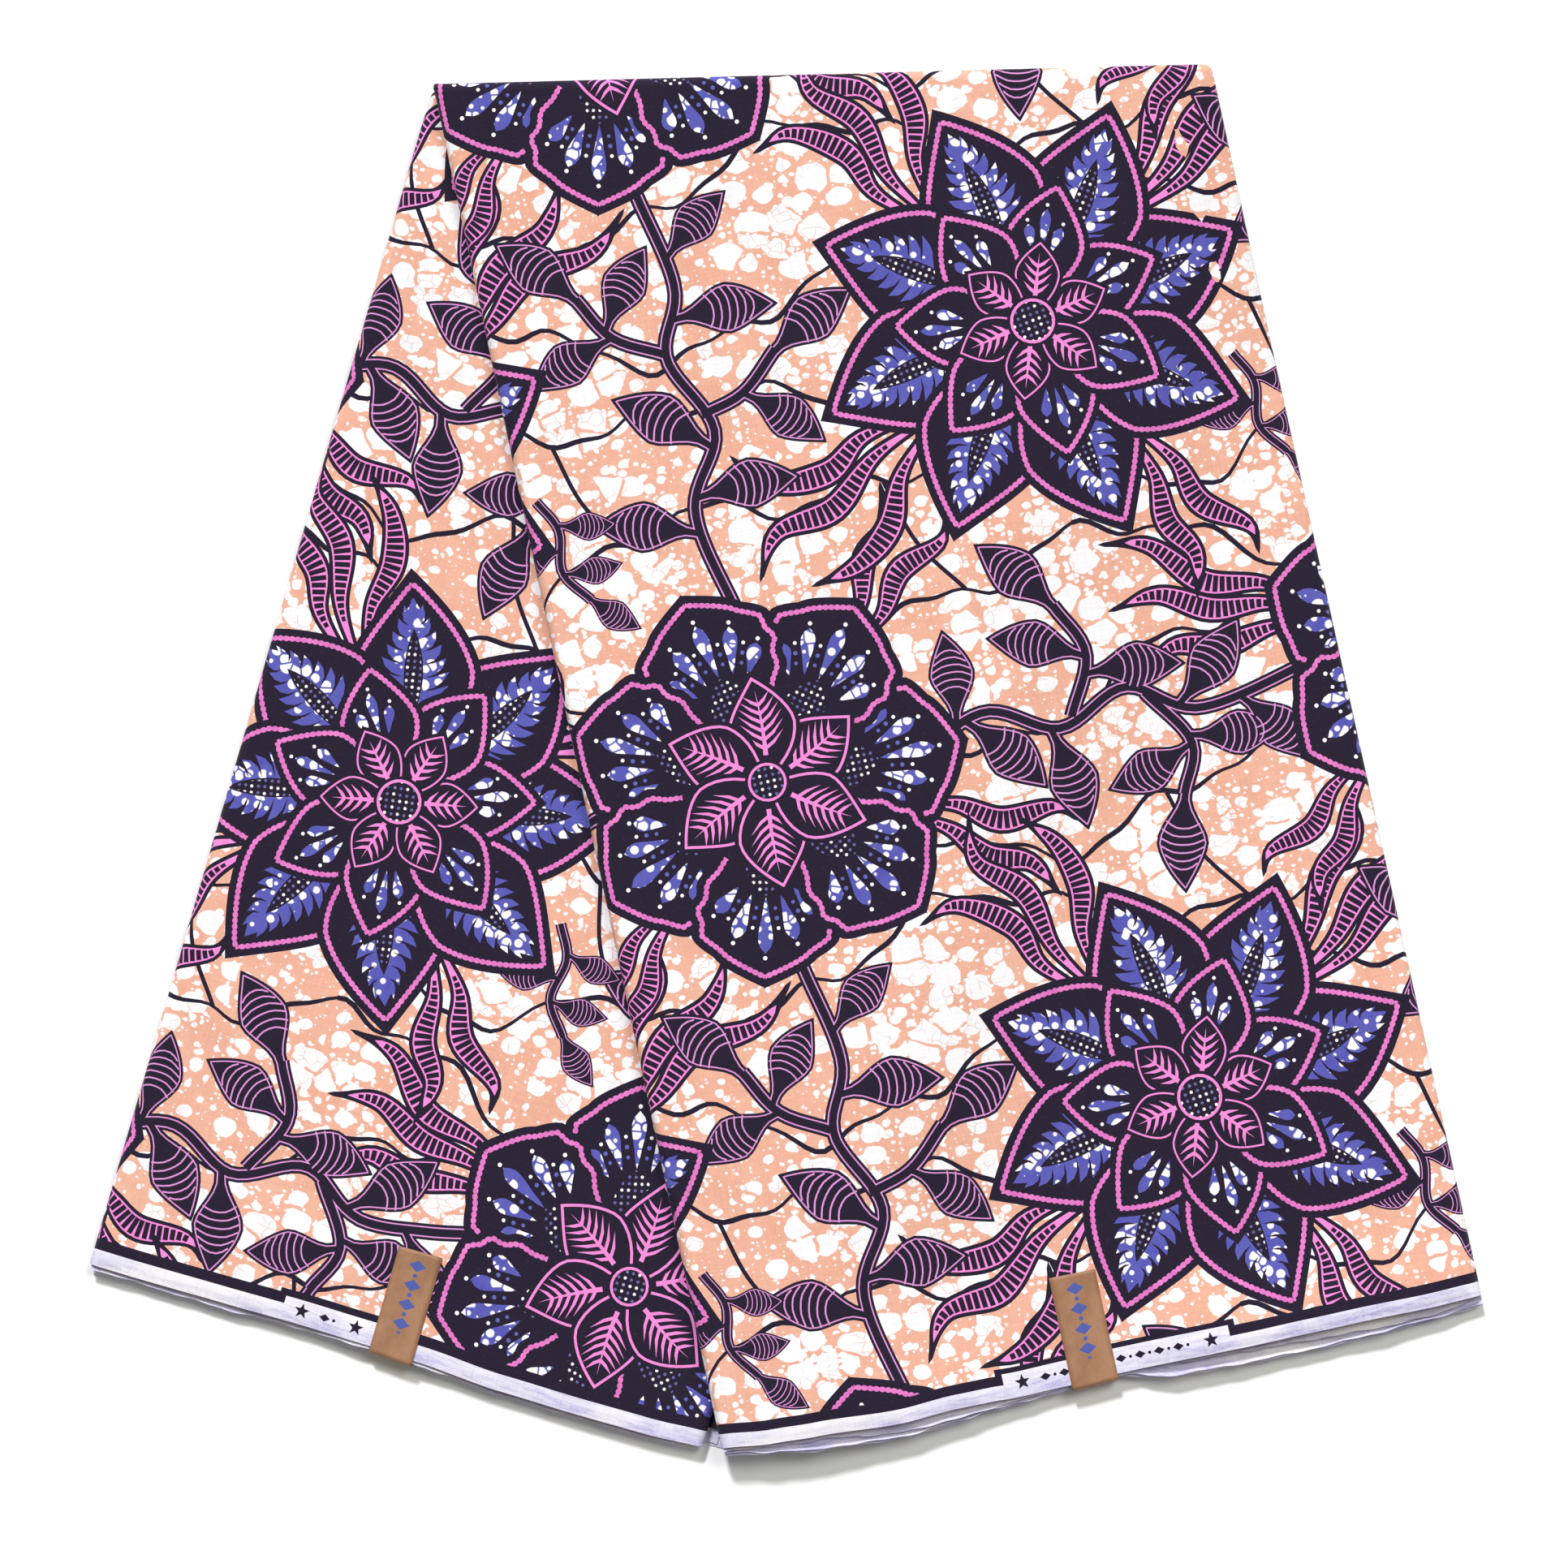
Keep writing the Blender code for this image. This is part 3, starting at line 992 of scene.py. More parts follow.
@dataclass(frozen=True)
class Sheaf:
    """A sheaf of long wavy blades that fan out from under a flower, each with a ladder of short bars."""

    blades: tuple
    half: float = 5.1

    def draw(self, pen: Pen) -> None:
        """Draws the sheaf, all its outlines first.

        Args:
            pen: stands at the sheaf's root.
        """
        lines = [curve_through(knots, 3.2) for knots in self.blades]
        blades = [(line, self.body(line)) for line in lines]
        for line, body in blades:
            pen.ribbon(line, np.where(body > 0, body + 1.0, 0.0), Ink.NAVY)
        for line, body in blades:
            inner = body[body > 0.9] - 0.75
            inner[-1] = 0.0
            pen.ribbon(line[: len(inner)], inner, Ink.ORCHID)
        for line, body in blades:
            self.bars(pen, line, body)

    def body(self, line: Points) -> Points:
        """The half width along a blade, nothing at its tip.

        Args:
            line: the blade's midline, mm.

        Returns:
            Half widths at its points, mm.
        """
        t = np.linspace(0, 1, len(line))
        body = self.half * (0.26 + 0.74 * np.sin(math.pi * t**1.15) ** 1.1) * (1.0 - 0.12 * np.sin(9.0 * t))
        body *= 1.0 - smooth_step(0.8, 1.0, t)
        body[-1] = 0.0
        return body

    def bars(self, pen: Pen, line: Points, body: Points) -> None:
        """Draws the bars of one blade.

        Args:
            pen: stands at the sheaf's root.
            line: the blade's midline, mm.
            body: its half widths, mm.
        """
        n = sideways(line)
        for i in range(4, len(line) - 3):
            reach = body[i] - 1.55
            if reach < 0.8:
                continue
            d = 1.18 * unit(line[i + 1] - line[i - 1])
            a, b = line[i] + n[i] * reach, line[i] - n[i] * reach
            pen.fill([a - d, b - d, b + d, a + d], Ink.NAVY)


LONG_BLADES = (
    ((0, -3), (28, -8), (56, -4), (84, -16), (108, -12)),
    ((0, 0), (26, 1), (50, 8), (76, 6), (98, 18)),
    ((0, 3), (22, 12), (42, 24), (64, 28), (78, 44)),
)
SHORT_BLADES = (
    ((0, -2), (22, -8), (44, -6), (66, -18), (80, -14)),
    ((0, 2), (22, 4), (42, 12), (62, 10), (80, 22)),
)
CURLED_BLADES = (
    ((0, -4), (24, -12), (46, -10), (70, -24), (74, -44)),
    ((0, 0), (26, -2), (54, 4), (80, -4), (100, 8)),
    ((0, 4), (22, 12), (40, 26), (62, 30), (84, 24)),
)
# Where each sheaf has its root, under a flower, and its blades.
SHEAVES = (
    ((52, 40, 32), LONG_BLADES),
    ((-58, -34, 208), CURLED_BLADES),
    ((-36, 56, 118, 0.95, True), CURLED_BLADES),
    ((34, -58, -66, 0.95, True), SHORT_BLADES),
    ((98, 198, 158, 0.95), LONG_BLADES),
    ((216, 150, -26, 0.95, True), SHORT_BLADES),
    ((206, 226, 52, 0.9), SHORT_BLADES),
    ((104, 128, 226, 0.85), SHORT_BLADES),
)
TALL_SPRAY = Spray(
    stems=(
        ((4, -104), (-6, -52), (10, -18), (-4, 18), (6, 48), (-2, 92)),
        ((6, -10), (26, -4), (44, 12)),
        ((-5, 20), (-26, 32), (-38, 52)),
    ),
    leaves=(
        (0, 0.22, 62, 1.0), (0, 0.30, -58, 1.0), (0, 0.42, 66, 1.05),
        (0, 0.72, -58, 1.0), (0, 0.86, -56, 0.85), (1, 0.5, -68, 0.9), (1, 0.98, -8, 1.0),
        (2, 0.5, 62, 0.9), (2, 0.62, -64, 0.9), (2, 0.98, 6, 1.0),
    ),
)
WIDE_SPRAY = Spray(
    stems=(
        ((-96, -6), (-58, 10), (-26, -4), (6, 8), (38, -8), (98, 4)),
        ((-20, 0), (-8, 26), (-18, 50)),
        ((14, 4), (30, -22), (22, -44)),
    ),
    leaves=(
        (0, 0.16, -60, 1.0), (0, 0.15, 58, 0.9), (0, 0.36, -62, 1.0),
        (0, 0.66, 60, 1.0), (0, 0.80, -58, 0.9), (1, 0.55, 60, 0.95), (1, 0.42, -66, 0.95), (1, 0.98, 6, 1.0),
        (2, 0.5, 62, 0.9), (2, 0.6, -64, 0.9), (2, 0.98, 4, 1.0),
    ),
)
TWIG = Spray(
    stems=(((0, 0), (22, 8), (48, 2), (70, 14)),),
    leaves=((0, 0.3, 60, 0.8), (0, 0.5, -60, 0.85), (0, 0.72, 58, 0.8), (0, 0.98, 2, 0.85)),
)
# Where each spray stands in the open fields of the repeat.
SPRAYS = (((158, 0, 0), TALL_SPRAY), ((0, 175, 0), WIDE_SPRAY), ((84, -32, -84, 0.7), TWIG))


class Repeat:
    """The whole design, which repeats across and up the cloth."""

    ACROSS, UP = 316.0, 350.0
    LINES = 7
    # The short lines between two others: the lower one's number, and mm across at its foot and its head.
    JOINS = ((0, 70, 96), (1, 262, 236), (2, 118, 96), (3, 232, 256), (3, 28, 60), (4, 300, 284), (5, 40, 14))

    def draw(self) -> Sketch:
        """Draws every motif, the thin lines first and the flowers last.

        Returns:
            The finished sketch.
        """
        sketch = Sketch()
        self.wandering_lines(Pen(sketch))
        sketch.layer = 1
        for place, blades in SHEAVES:
            Sheaf(blades).draw(Pen(sketch, *place))
        sketch.layer = 2
        for place, spray in SPRAYS:
            spray.draw(Pen(sketch, *place))
        sketch.layer = 3
        Rosette().draw(Pen(sketch, 0, 0, 8))
        Peony().draw(Pen(sketch, 158, 175))
        return sketch

    def line_up(self, number: int, x: Points | float) -> Points:
        """How far up a wandering line lies, which comes back to itself after one repeat.

        Args:
            number: which line, from the bottom.
            x: mm across the repeat.

        Returns:
            Places up the repeat, mm.
        """
        turn = 2 * math.pi * np.asarray(x, float) / self.ACROSS
        base = -163.0 + 50.0 * number
        wave = 13.0 * np.sin(turn + 1.9 * number) + 8.0 * np.sin(2 * turn + 0.7 * number * number)
        return base + wave + 4.5 * np.sin(5 * turn + 2.3 * number) + 1.8 * np.sin(11 * turn + number)

    def wandering_lines(self, pen: Pen) -> None:
        """Draws the thin lines that cross the ground, and the short ones that join them.

        Args:
            pen: stands at the repeat's origin.
        """
        x = np.linspace(-2.0, self.ACROSS + 2.0, 84)
        for number in range(self.LINES):
            pen.ribbon(xy(x, self.line_up(number, x)), 0.95 + 0.25 * np.sin(0.11 * x + number), Ink.NAVY)
        for number, a, b in self.JOINS:
            low, high = (a, float(self.line_up(number, a))), (b, float(self.line_up(number + 1, b)))
            middle = (0.35 * a + 0.65 * b, 0.55 * low[1] + 0.45 * high[1])
            pen.ribbon(curve_through([low, middle, high], 4.0), 0.95, Ink.NAVY)


# Finishes of the cloth and the paper.


def per(size: float) -> float:
    """The scale at which a pattern of this many mm repeats on a cloth map."""
    return MAP_UNIT / size


class Recipe:
    """One material's nodes, added in the order in which they are worked out."""

    def __init__(self, name: str) -> None:
        """Starts a material with an empty principled shader.

        Args:
            name: the material's name.
        """
        self.material = bpy.data.materials.new(name)
        self.material.use_nodes = True
        self.tree = self.material.node_tree
        self.shader = self.tree.nodes["Principled BSDF"]

    def node(self, kind: str, sockets: dict, **settings: object) -> bpy.types.Node:
        """Adds a node.

        Args:
            kind: the node's type, less its first word.
            sockets: numbers, colours or other nodes' sockets for its inputs, by name or place.
            settings: its own settings.

        Returns:
            The node.
        """
        made = self.tree.nodes.new(f"ShaderNode{kind}")
        for key, value in settings.items():
            setattr(made, key, value)
        for key, value in sockets.items():
            if isinstance(value, Socket):
                self.tree.links.new(value, made.inputs[key])
            else:
                made.inputs[key].default_value = value
        return made

    def math(self, how: str, a: object, b: object = 0.0, c: object = 0.0) -> Socket:
        """Adds a sum and returns its result."""
        return self.node("Math", {0: a, 1: b, 2: c}, operation=how).outputs[0]

    def less(self, first: object, second: object) -> Socket:
        """Takes the second number from the first."""
        return self.math("SUBTRACT", first, second)

    def times(self, first: object, second: object) -> Socket:
        """Multiplies two numbers."""
        return self.math("MULTIPLY", first, second)

    def times_plus(self, first: object, second: object, more: object) -> Socket:
        """Multiplies two numbers and adds more."""
        return self.math("MULTIPLY_ADD", first, second, more)

    def ranged(self, value: object, low: float, high: float, to: tuple, **settings: str) -> Socket:
        """Maps a number from the range of low to high to another."""
        sockets = {"Value": value, "From Min": low, "From Max": high, "To Min": to[0], "To Max": to[1]}
        return self.node("MapRange", sockets, **settings).outputs["Result"]

    def soft(self, value: object, low: float, high: float) -> Socket:
        """Runs softly from 0 to 1 as value goes from low to high."""
        return self.ranged(value, low, high, (0.0, 1.0), interpolation_type="SMOOTHSTEP")

    def fade(self, value: object, low: float, high: float) -> Socket:
        """Runs softly from 1 to 0 as value goes from low to high."""
        return self.less(1.0, self.soft(value, low, high))

    def mix(self, share: object, first: object, second: object) -> Socket:
        """Mixes two colours and returns the result."""
        return self.node("Mix", {0: share, 6: first, 7: second}, data_type="RGBA").outputs[2]

    def scaled(self, vector: object, factor: object) -> Socket:
        """Multiplies a colour or vector by a number."""
        return self.node("VectorMath", {0: vector, "Scale": factor}, operation="SCALE").outputs[0]

    def moved(self, vector: object, by: object) -> Socket:
        """Adds two vectors."""
        return self.node("VectorMath", {0: vector, 1: by}, operation="ADD").outputs[0]

    def shade(self, share: object, colour: object, dark: float, light: float) -> Socket:
        """Darkens or lightens a colour by the factor dark where share is 0 and light where it is 1."""
        return self.scaled(colour, self.ranged(share, 0.0, 1.0, (dark, light)))

    def map(self, name: str, stretch: tuple[float, float] = (1.0, 1.0)) -> Socket:
        """Reads one of the piece's own maps, stretched."""
        uv = self.node("UVMap", {}, uv_map=name).outputs[0]
        return self.node("Mapping", {"Vector": uv, "Scale": (*stretch, 1.0)}).outputs[0]

    @cached_property
    def cloth(self) -> Socket:
        """The map of the piece laid flat, or of a strip's length and width."""
        return self.map("cloth")

    @cached_property
    def motif(self) -> Socket:
        """The map along and across each printed shape."""
        return self.map("motif")

    def parts(self, vector: Socket) -> list[Socket]:
        """Parts a place into its numbers across, up and out."""
        return list(self.node("SeparateXYZ", {0: vector}).outputs)

    def noise(self, where: object, size: float, detail: float = 2.0, rough: float = 0.5) -> Socket:
        """Adds soft noise of a size in mm and returns its value."""
        sockets = {"Vector": where, "Scale": per(size), "Detail": detail, "Roughness": rough}
        return self.node("TexNoise", sockets, noise_dimensions="2D").outputs[0]

    def cells(self, where: object, size: float, scatter: float = 1.0, read: str = "F1") -> bpy.types.Node:
        """Adds a pattern of cells of a size in mm, on a square grid where scatter is 0."""
        sockets = {"Vector": where, "Scale": per(size), "Randomness": scatter}
        return self.node("TexVoronoi", sockets, voronoi_dimensions="2D", feature=read)

    def walls(self, where: object, size: float, scatter: float = 1.0) -> Socket:
        """How far places lie from the nearest wall between such cells."""
        return self.cells(where, size, scatter, "DISTANCE_TO_EDGE").outputs[0]

    def luck(self, cells: bpy.types.Node, part: int = 0) -> Socket:
        """A number between 0 and 1 that each cell has for itself."""
        return self.node("SeparateColor", {0: cells.outputs["Color"]}).outputs[part]

    def inside(self, reach: Socket, cells: bpy.types.Node, wall: Socket, gap: float) -> Socket:
        """How far inside a spot of radius reach a place lies, with a gap kept to its cell's walls."""
        within = self.less(reach, cells.outputs["Distance"])
        return self.math("MINIMUM", within, self.less(wall, gap))

    def fixed(self, values: dict) -> None:
        """Sets the shader's own numbers and colours, by the names of its sockets."""
        for name, value in values.items():
            self.shader.inputs[name].default_value = value

    def finish(self, colour: Socket, height: Socket, depth: float, strength: float, values: dict) -> None:
        """Joins colour and bump to the shader and sets the rest.

        Args:
            colour: the finished colour.
            height: the height that the bump reads.
            depth: how deep a full step of it is, mm.
            strength: the bump's strength.
            values: the shader's own numbers, by the names of its sockets.
        """
        self.tree.links.new(colour, self.shader.inputs["Base Color"])
        bump = self.node("Bump", {"Height": height, "Distance": depth * MM, "Strength": strength})
        self.tree.links.new(bump.outputs[0], self.shader.inputs["Normal"])
        self.fixed(values)


NAVY = linear(33, 24, 46)


@dataclass(frozen=True)
class Cotton:
    """Printed cotton in one ink: the ink's colour, a second colour and how the cloth takes it.

    The sizes of the ground's bubbles are a cell's size in mm, the least and the greatest radius and the
    gap to its walls, in shares of the cell.
    """

    ink: Ink
    colour: tuple
    second: tuple = linear(250, 248, 249)
    roughness: float = 0.82
    sheen: float = 0.07
    thread: float = 0.42
    bubble_sizes: tuple = ((12.2, 0.12, 0.64, 0.05), (6.2, -0.06, 0.52, 0.08), (3.0, -0.24, 0.44, 0.1))

    def make(self) -> bpy.types.Material:
        """Builds the material: the ink's own pattern, then the cloth's threads over it.

        Returns:
            The material.
        """
        r = Recipe(f"cotton_{self.ink.value}")
        patterns = {
            Ink.GROUND: self.bubbles,
            Ink.BEADS: self.beads,
            Ink.FLAME: self.flecks,
            Ink.DOTS: self.dots,
            Ink.SELVAGE: self.streaks,
        }
        colour = patterns.get(self.ink, self.plain)(r)
        warp, weft = (r.noise(r.map("cloth", way), 0.9, 2.0, 0.6) for way in ((1.0, 0.07), (0.07, 1.0)))
        slub = r.times_plus(warp, 0.5, r.times(weft, 0.5))
        dark, light = (0.80, 1.16) if self.ink is not Ink.NAVY else (0.62, 1.34)
        colour = r.shade(slub, colour, dark, light)
        colour = r.shade(r.noise(r.cloth, 34.0, 3.0, 0.55), colour, 0.93, 1.02)
        turns = 2 * math.pi * per(self.thread)
        across, up = (r.math("SINE", r.times(part, turns)) for part in r.parts(r.cloth)[:2])
        height = r.times_plus(r.times(across, up), 0.35, r.times(slub, 1.6))
        values = {"Roughness": self.roughness, "Sheen Weight": self.sheen, "Sheen Roughness": 0.45}
        r.finish(colour, height, 0.10, 0.55, {**values, "Specular IOR Level": 0.22})
        return r.material

    def plain(self, r: Recipe) -> Socket:
        """One ink, a little uneven where the dye took less.

        Args:
            r: the material.

        Returns:
            The ink's colour.
        """
        thin = r.soft(r.noise(r.cloth, 2.2, 3.0, 0.7), 0.62, 0.80)
        worn = tuple(min(1.0, 1.5 * c + 0.02) for c in self.colour[:3]) + (1.0,)
        return r.mix(r.times(thin, 0.55), self.colour, worn)

    def bubbles(self, r: Recipe) -> Socket:
        """The dyed ground with its white bubbles, in three sizes, parted by fine cracks.

        Args:
            r: the material.

        Returns:
            The ground's colour.
        """
        sockets = {"Vector": r.cloth, "Scale": per(6.0), "Detail": 1.0}
        wobble = r.node("TexNoise", sockets, noise_dimensions="2D").outputs[1]
        place = r.moved(r.map("cloth", (0.84, 1.0)), r.scaled(r.moved(wobble, (-0.5, -0.5, 0.0)), 0.018))
        crowd = r.soft(r.noise(r.cloth, 52.0), 0.34, 0.66)
        spots = []
        for size, least, most, gap in self.bubble_sizes:
            spot = r.cells(place, size, 0.9)
            wall = r.walls(place, size, 0.9)
            reach = r.times_plus(r.luck(spot), most - least, least)
            reach = r.times(reach, r.times_plus(crowd, 0.56, 0.61))
            made = r.soft(r.times(r.inside(reach, spot, wall, gap), size / 10.0), -0.012, 0.022)
            spots.append(r.math("MAXIMUM", spots[-1], made) if spots else made)
        vein = r.fade(r.walls(place, 4.2), 0.0, 0.07)
        vein = r.times(vein, r.soft(r.noise(r.cloth, 15.0), 0.50, 0.64))
        faint = r.soft(r.noise(r.cloth, 1.7, 3.0, 0.7), 0.56, 0.74)
        tone = r.mix(r.noise(r.cloth, 21.0, 3.0), self.colour, linear(233, 168, 141))
        tone = r.mix(r.times(faint, 0.35), tone, linear(250, 214, 197))
        return r.mix(spots[-1], tone, r.mix(r.times(vein, 0.62), self.second, linear(218, 164, 154)))

    def beads(self, r: Recipe) -> Socket:
        """A row of round beads that touch, on navy.

        Args:
            r: the material.

        Returns:
            The row's colour.
        """
        length, aside, _ = r.parts(r.motif)
        along = r.math("DIVIDE", length, 0.026)
        off = r.times(r.less(along, r.math("ROUND", along)), 0.0208)
        apart = r.math("POWER", r.times_plus(off, off, r.math("POWER", aside, 2.0)), 0.5)
        tone = r.mix(r.noise(r.cloth, 7.0), self.colour, linear(208, 98, 182))
        return r.mix(r.fade(apart, 0.0114, 0.0126), NAVY, tone)

    def flecks(self, r: Recipe) -> Socket:
        """Violet with white flecks, thickest along the middle.

        Args:
            r: the material.

        Returns:
            The feather's colour.
        """
        near = r.fade(r.math("ABSOLUTE", r.parts(r.motif)[1]), 0.01, 0.13)
        spot = r.cells(r.cloth, 5.2)
        wall = r.walls(r.cloth, 5.2)
        reach = r.times_plus(r.luck(spot), 0.62, r.times_plus(near, 0.32, -0.24))
        white = r.soft(r.inside(reach, spot, wall, 0.05), -0.02, 0.06)
        tone = r.mix(r.noise(r.cloth, 9.0), self.colour, linear(80, 78, 176))
        return r.mix(white, tone, self.second)

    def dots(self, r: Recipe) -> Socket:
        """Rows of small dots on navy, some white and some dim.

        Args:
            r: the material.

        Returns:
            The dotted ink's colour.
        """
        spot = r.cells(r.motif, 2.9, 0.10)
        dot = r.fade(spot.outputs["Distance"], 0.20, 0.27)
        tone = r.mix(r.soft(r.luck(spot, 1), 0.46, 0.54), linear(104, 104, 158), self.second)
        return r.mix(dot, NAVY, tone)

    def streaks(self, r: Recipe) -> Socket:
        """The white selvage with lilac smears along it.

        Args:
            r: the material.

        Returns:
            The selvage's colour.
        """
        smear = r.noise(r.map("cloth", (0.22, 1.6)), 3.2, 4.0, 0.72)
        speck = r.noise(r.map("cloth", (0.5, 1.5)), 0.8, 2.0, 0.7)
        patch = r.noise(r.map("cloth", (0.5, 1.0)), 42.0)
        outer = r.fade(r.parts(r.cloth)[1], 0.02, 0.09)
        full = r.times(r.soft(patch, 0.32, 0.58), r.times_plus(outer, 0.6, 0.4))
        base = r.mix(r.times(full, 0.85), self.second, linear(219, 214, 241))
        streak = r.times(r.soft(smear, 0.42, 0.64), full)
        base = r.mix(r.times(streak, 0.5), base, self.colour)
        dashes = r.times(r.soft(speck, 0.56, 0.70), r.times_plus(streak, 0.7, 0.15))
        return r.mix(r.times(dashes, full), base, self.colour)


@dataclass(frozen=True)
class FoldEdge:
    """The printed cloth seen on the folds at a leaf's sides: the print's colours in short uneven lengths."""

    name: str = "cotton_fold_edges"
    navy: tuple = NAVY
    peach: tuple = linear(243, 184, 152)
    white: tuple = linear(248, 246, 248)
    orchid: tuple = linear(206, 98, 184)

    def make(self) -> bpy.types.Material:
        """Builds the material from the map that runs round the leaf.

        Returns:
            The material.
        """
        r = Recipe(self.name)
        length = r.map("cloth", (1.0, 0.5))
        base = r.mix(r.soft(r.noise(length, 9.0), 0.50, 0.54), self.peach, self.white)
        base = r.mix(r.soft(r.noise(length, 15.0, 1.0), 0.60, 0.62), base, self.orchid)
        base = r.mix(r.soft(r.noise(length, 26.0, 3.0, 0.6), 0.49, 0.51), base, self.navy)
        slub = r.noise(r.map("cloth", (1.0, 0.1)), 0.9, 2.0, 0.6)
        values = {"Roughness": 0.84, "Sheen Weight": 0.12, "Specular IOR Level": 0.28}
        r.finish(r.shade(slub, base, 0.79, 1.09), slub, 0.1, 0.5, values)
        return r.material


@dataclass(frozen=True)
class BrownPaper:
    """Plain brown paper, faintly striped by its making."""

    name: str = "brown_paper"
    colour: tuple = linear(170, 125, 93)
    dark: tuple = linear(154, 110, 80)
    blue: tuple = linear(74, 88, 164)

    def make(self) -> bpy.types.Material:
        """Builds the material from the strip's own map.

        Returns:
            The material.
        """
        r = Recipe(self.name)
        fibre = r.noise(r.map("cloth", (0.25, 1.0)), 1.1, 4.0, 0.65)
        cloud = r.noise(r.cloth, 11.0, 3.0)
        colour = r.mix(r.soft(cloud, 0.25, 0.75), self.dark, self.colour)
        colour = r.shade(fibre, r.mix(self.marks(r), colour, self.blue), 0.86, 1.09)
        values = {"Roughness": 0.56, "Specular IOR Level": 0.42}
        r.finish(colour, r.times_plus(fibre, 0.5, cloud), 0.12, 0.5, values)
        return r.material

    def marks(self, r: Recipe) -> Socket:
        """A row of blue lozenges with dots between them, printed along the part that lies on top.

        Args:
            r: the material.

        Returns:
            How much of the blue shows, 0 to 1.
        """
        length, width, _ = r.parts(r.cloth)
        step = r.math("DIVIDE", r.math("ADD", length, -0.065), 0.088)
        off = r.times(r.math("ABSOLUTE", r.less(step, r.math("ROUND", step))), 0.088)
        aside = r.math("ABSOLUTE", r.math("ADD", width, -0.104))
        lozenge = r.fade(r.times_plus(off, 1.5, aside), 0.038, 0.041)
        gap = r.less(off, 0.044)
        dot = r.fade(r.times_plus(gap, gap, r.times(aside, aside)), 0.00007, 0.00011)
        shown = r.times(r.soft(length, 0.028, 0.030), r.fade(length, 0.374, 0.376))
        return r.times(r.math("MAXIMUM", lozenge, dot), shown)


@dataclass(frozen=True)
class WhiteSurface:
    """The plain white surface that the cloth lies on."""

    name: str = "white_surface"
    colour: tuple = (0.97, 0.97, 0.965, 1.0)

    def make(self) -> bpy.types.Material:
        """Builds the material.

        Returns:
            The material.
        """
        r = Recipe(self.name)
        r.fixed({"Base Color": self.colour, "Roughness": 0.9, "Specular IOR Level": 0.1})
        return r.material


INKS = (
    Cotton(Ink.GROUND, linear(244, 189, 165)),
    Cotton(Ink.NAVY, NAVY),
    Cotton(Ink.BEADS, linear(246, 142, 212)),
    Cotton(Ink.FLAME, linear(100, 102, 182)),
    Cotton(Ink.DOTS, NAVY),
    Cotton(Ink.ORCHID, linear(246, 142, 216)),
    Cotton(Ink.MAUVE, linear(224, 150, 212)),
    Cotton(Ink.VIOLET, linear(100, 102, 182)),
    Cotton(Ink.WHITE, linear(250, 249, 251)),
    Cotton(Ink.SELVAGE, linear(150, 144, 208)),
)


# Meshes of the cloth.


def facing_up(outline: Points) -> Points | None:
    """Turns an outline anticlockwise and starts it with an edge that has its inside on the left.

    Args:
        outline: the closed outline's points in order.

    Returns:
        The outline without doubled points, or nothing where it is too small to cut.
    """
    step = np.hypot(*(outline - np.roll(outline, 1, 0)).T)
    line = outline[step > POINTS_APART]
    if len(line) < 3:
        return None
    area = 0.5 * float(np.sum(line[:, 0] * np.roll(line[:, 1], -1) - np.roll(line[:, 0], -1) * line[:, 1]))
    if abs(area) < LEAST_AREA:
        return None
    if area < 0:
        line = line[::-1]
    ahead = np.roll(line, -1, 0)
    run = ahead - line
    long = np.hypot(*run.T)
    beside = 0.5 * (line + ahead) + 0.03 * left_of(run) / long[:, None]
    for i in np.argsort(-long)[:10]:
        x, y = beside[i]
        spans = (line[:, 1] > y) != (ahead[:, 1] > y)
        reach = line[spans, 0] + (y - line[spans, 1]) * run[spans, 0] / run[spans, 1]
        if int((reach > x).sum()) % 2:
            return np.roll(line, -int(i), 0)
    return None


def closer(outline: list, step: float = 4.0) -> Points:
    """A closed outline with more points, so that none of its edges is longer than step.

    Args:
        outline: the corners.
        step: the longest edge allowed, mm.

    Returns:
        The new outline.
    """
    line = np.asarray(outline, float)
    parts = []
    for a, b in zip(line, np.roll(line, -1, 0)):
        count = max(1, math.ceil(np.hypot(*(b - a)) / step))
        parts.append(a + np.linspace(0.0, 1.0, count, endpoint=False)[:, None] * (b - a))
    return np.vstack(parts)


def triangulate(outline: Points, inner: Points) -> tuple[Points, Points]:
    """Fills an outline with triangles through the inner points.

    Args:
        outline: the closed outline's points in order.
        inner: more points, of which those inside the outline are used.

    Returns:
        All points and the triangles between them. The outline's points come first and keep their order.
    """
    points = np.vstack([outline, inner])
    found = delaunay_2d_cdt([Vector(p) for p in points], [], [list(range(len(outline)))], 1, 1e-4, True)
    faces = [f for f, sources in zip(found[2], found[5]) if sources]
    new_place = {}
    for i, sources in enumerate(found[3]):
        rim = [s for s in sources if s < len(outline)]
        if rim:
            new_place[i] = rim[0]
    placed = list(outline)
    for i in sorted({i for f in faces for i in f}):
        if i not in new_place:
            new_place[i] = len(placed)
            placed.append(np.array(found[0][i]))
    return np.array(placed), np.array([[new_place[i] for i in f] for f in faces])


def grid_inside(low: Points | tuple, high: Points | tuple, step: float) -> Points:
    """Lays a staggered grid of places between two corners.

    Args:
        low: the low corner, mm.
        high: the high corner, mm.
        step: the distance between places, mm.

    Returns:
        The places, mm.
    """
    rows = []
    for j, y in enumerate(np.arange(low[1], high[1], step)):
        x = np.arange(low[0] + (0.5 * step if j % 2 else 0.0), high[0], step)
        rows.append(xy(x, y))
    return np.vstack(rows)


def quads(*corners: Points) -> Points:
    """Four-sided faces from four tables of vertex numbers, one for each corner."""
    return np.stack([c.ravel() for c in corners], 1)


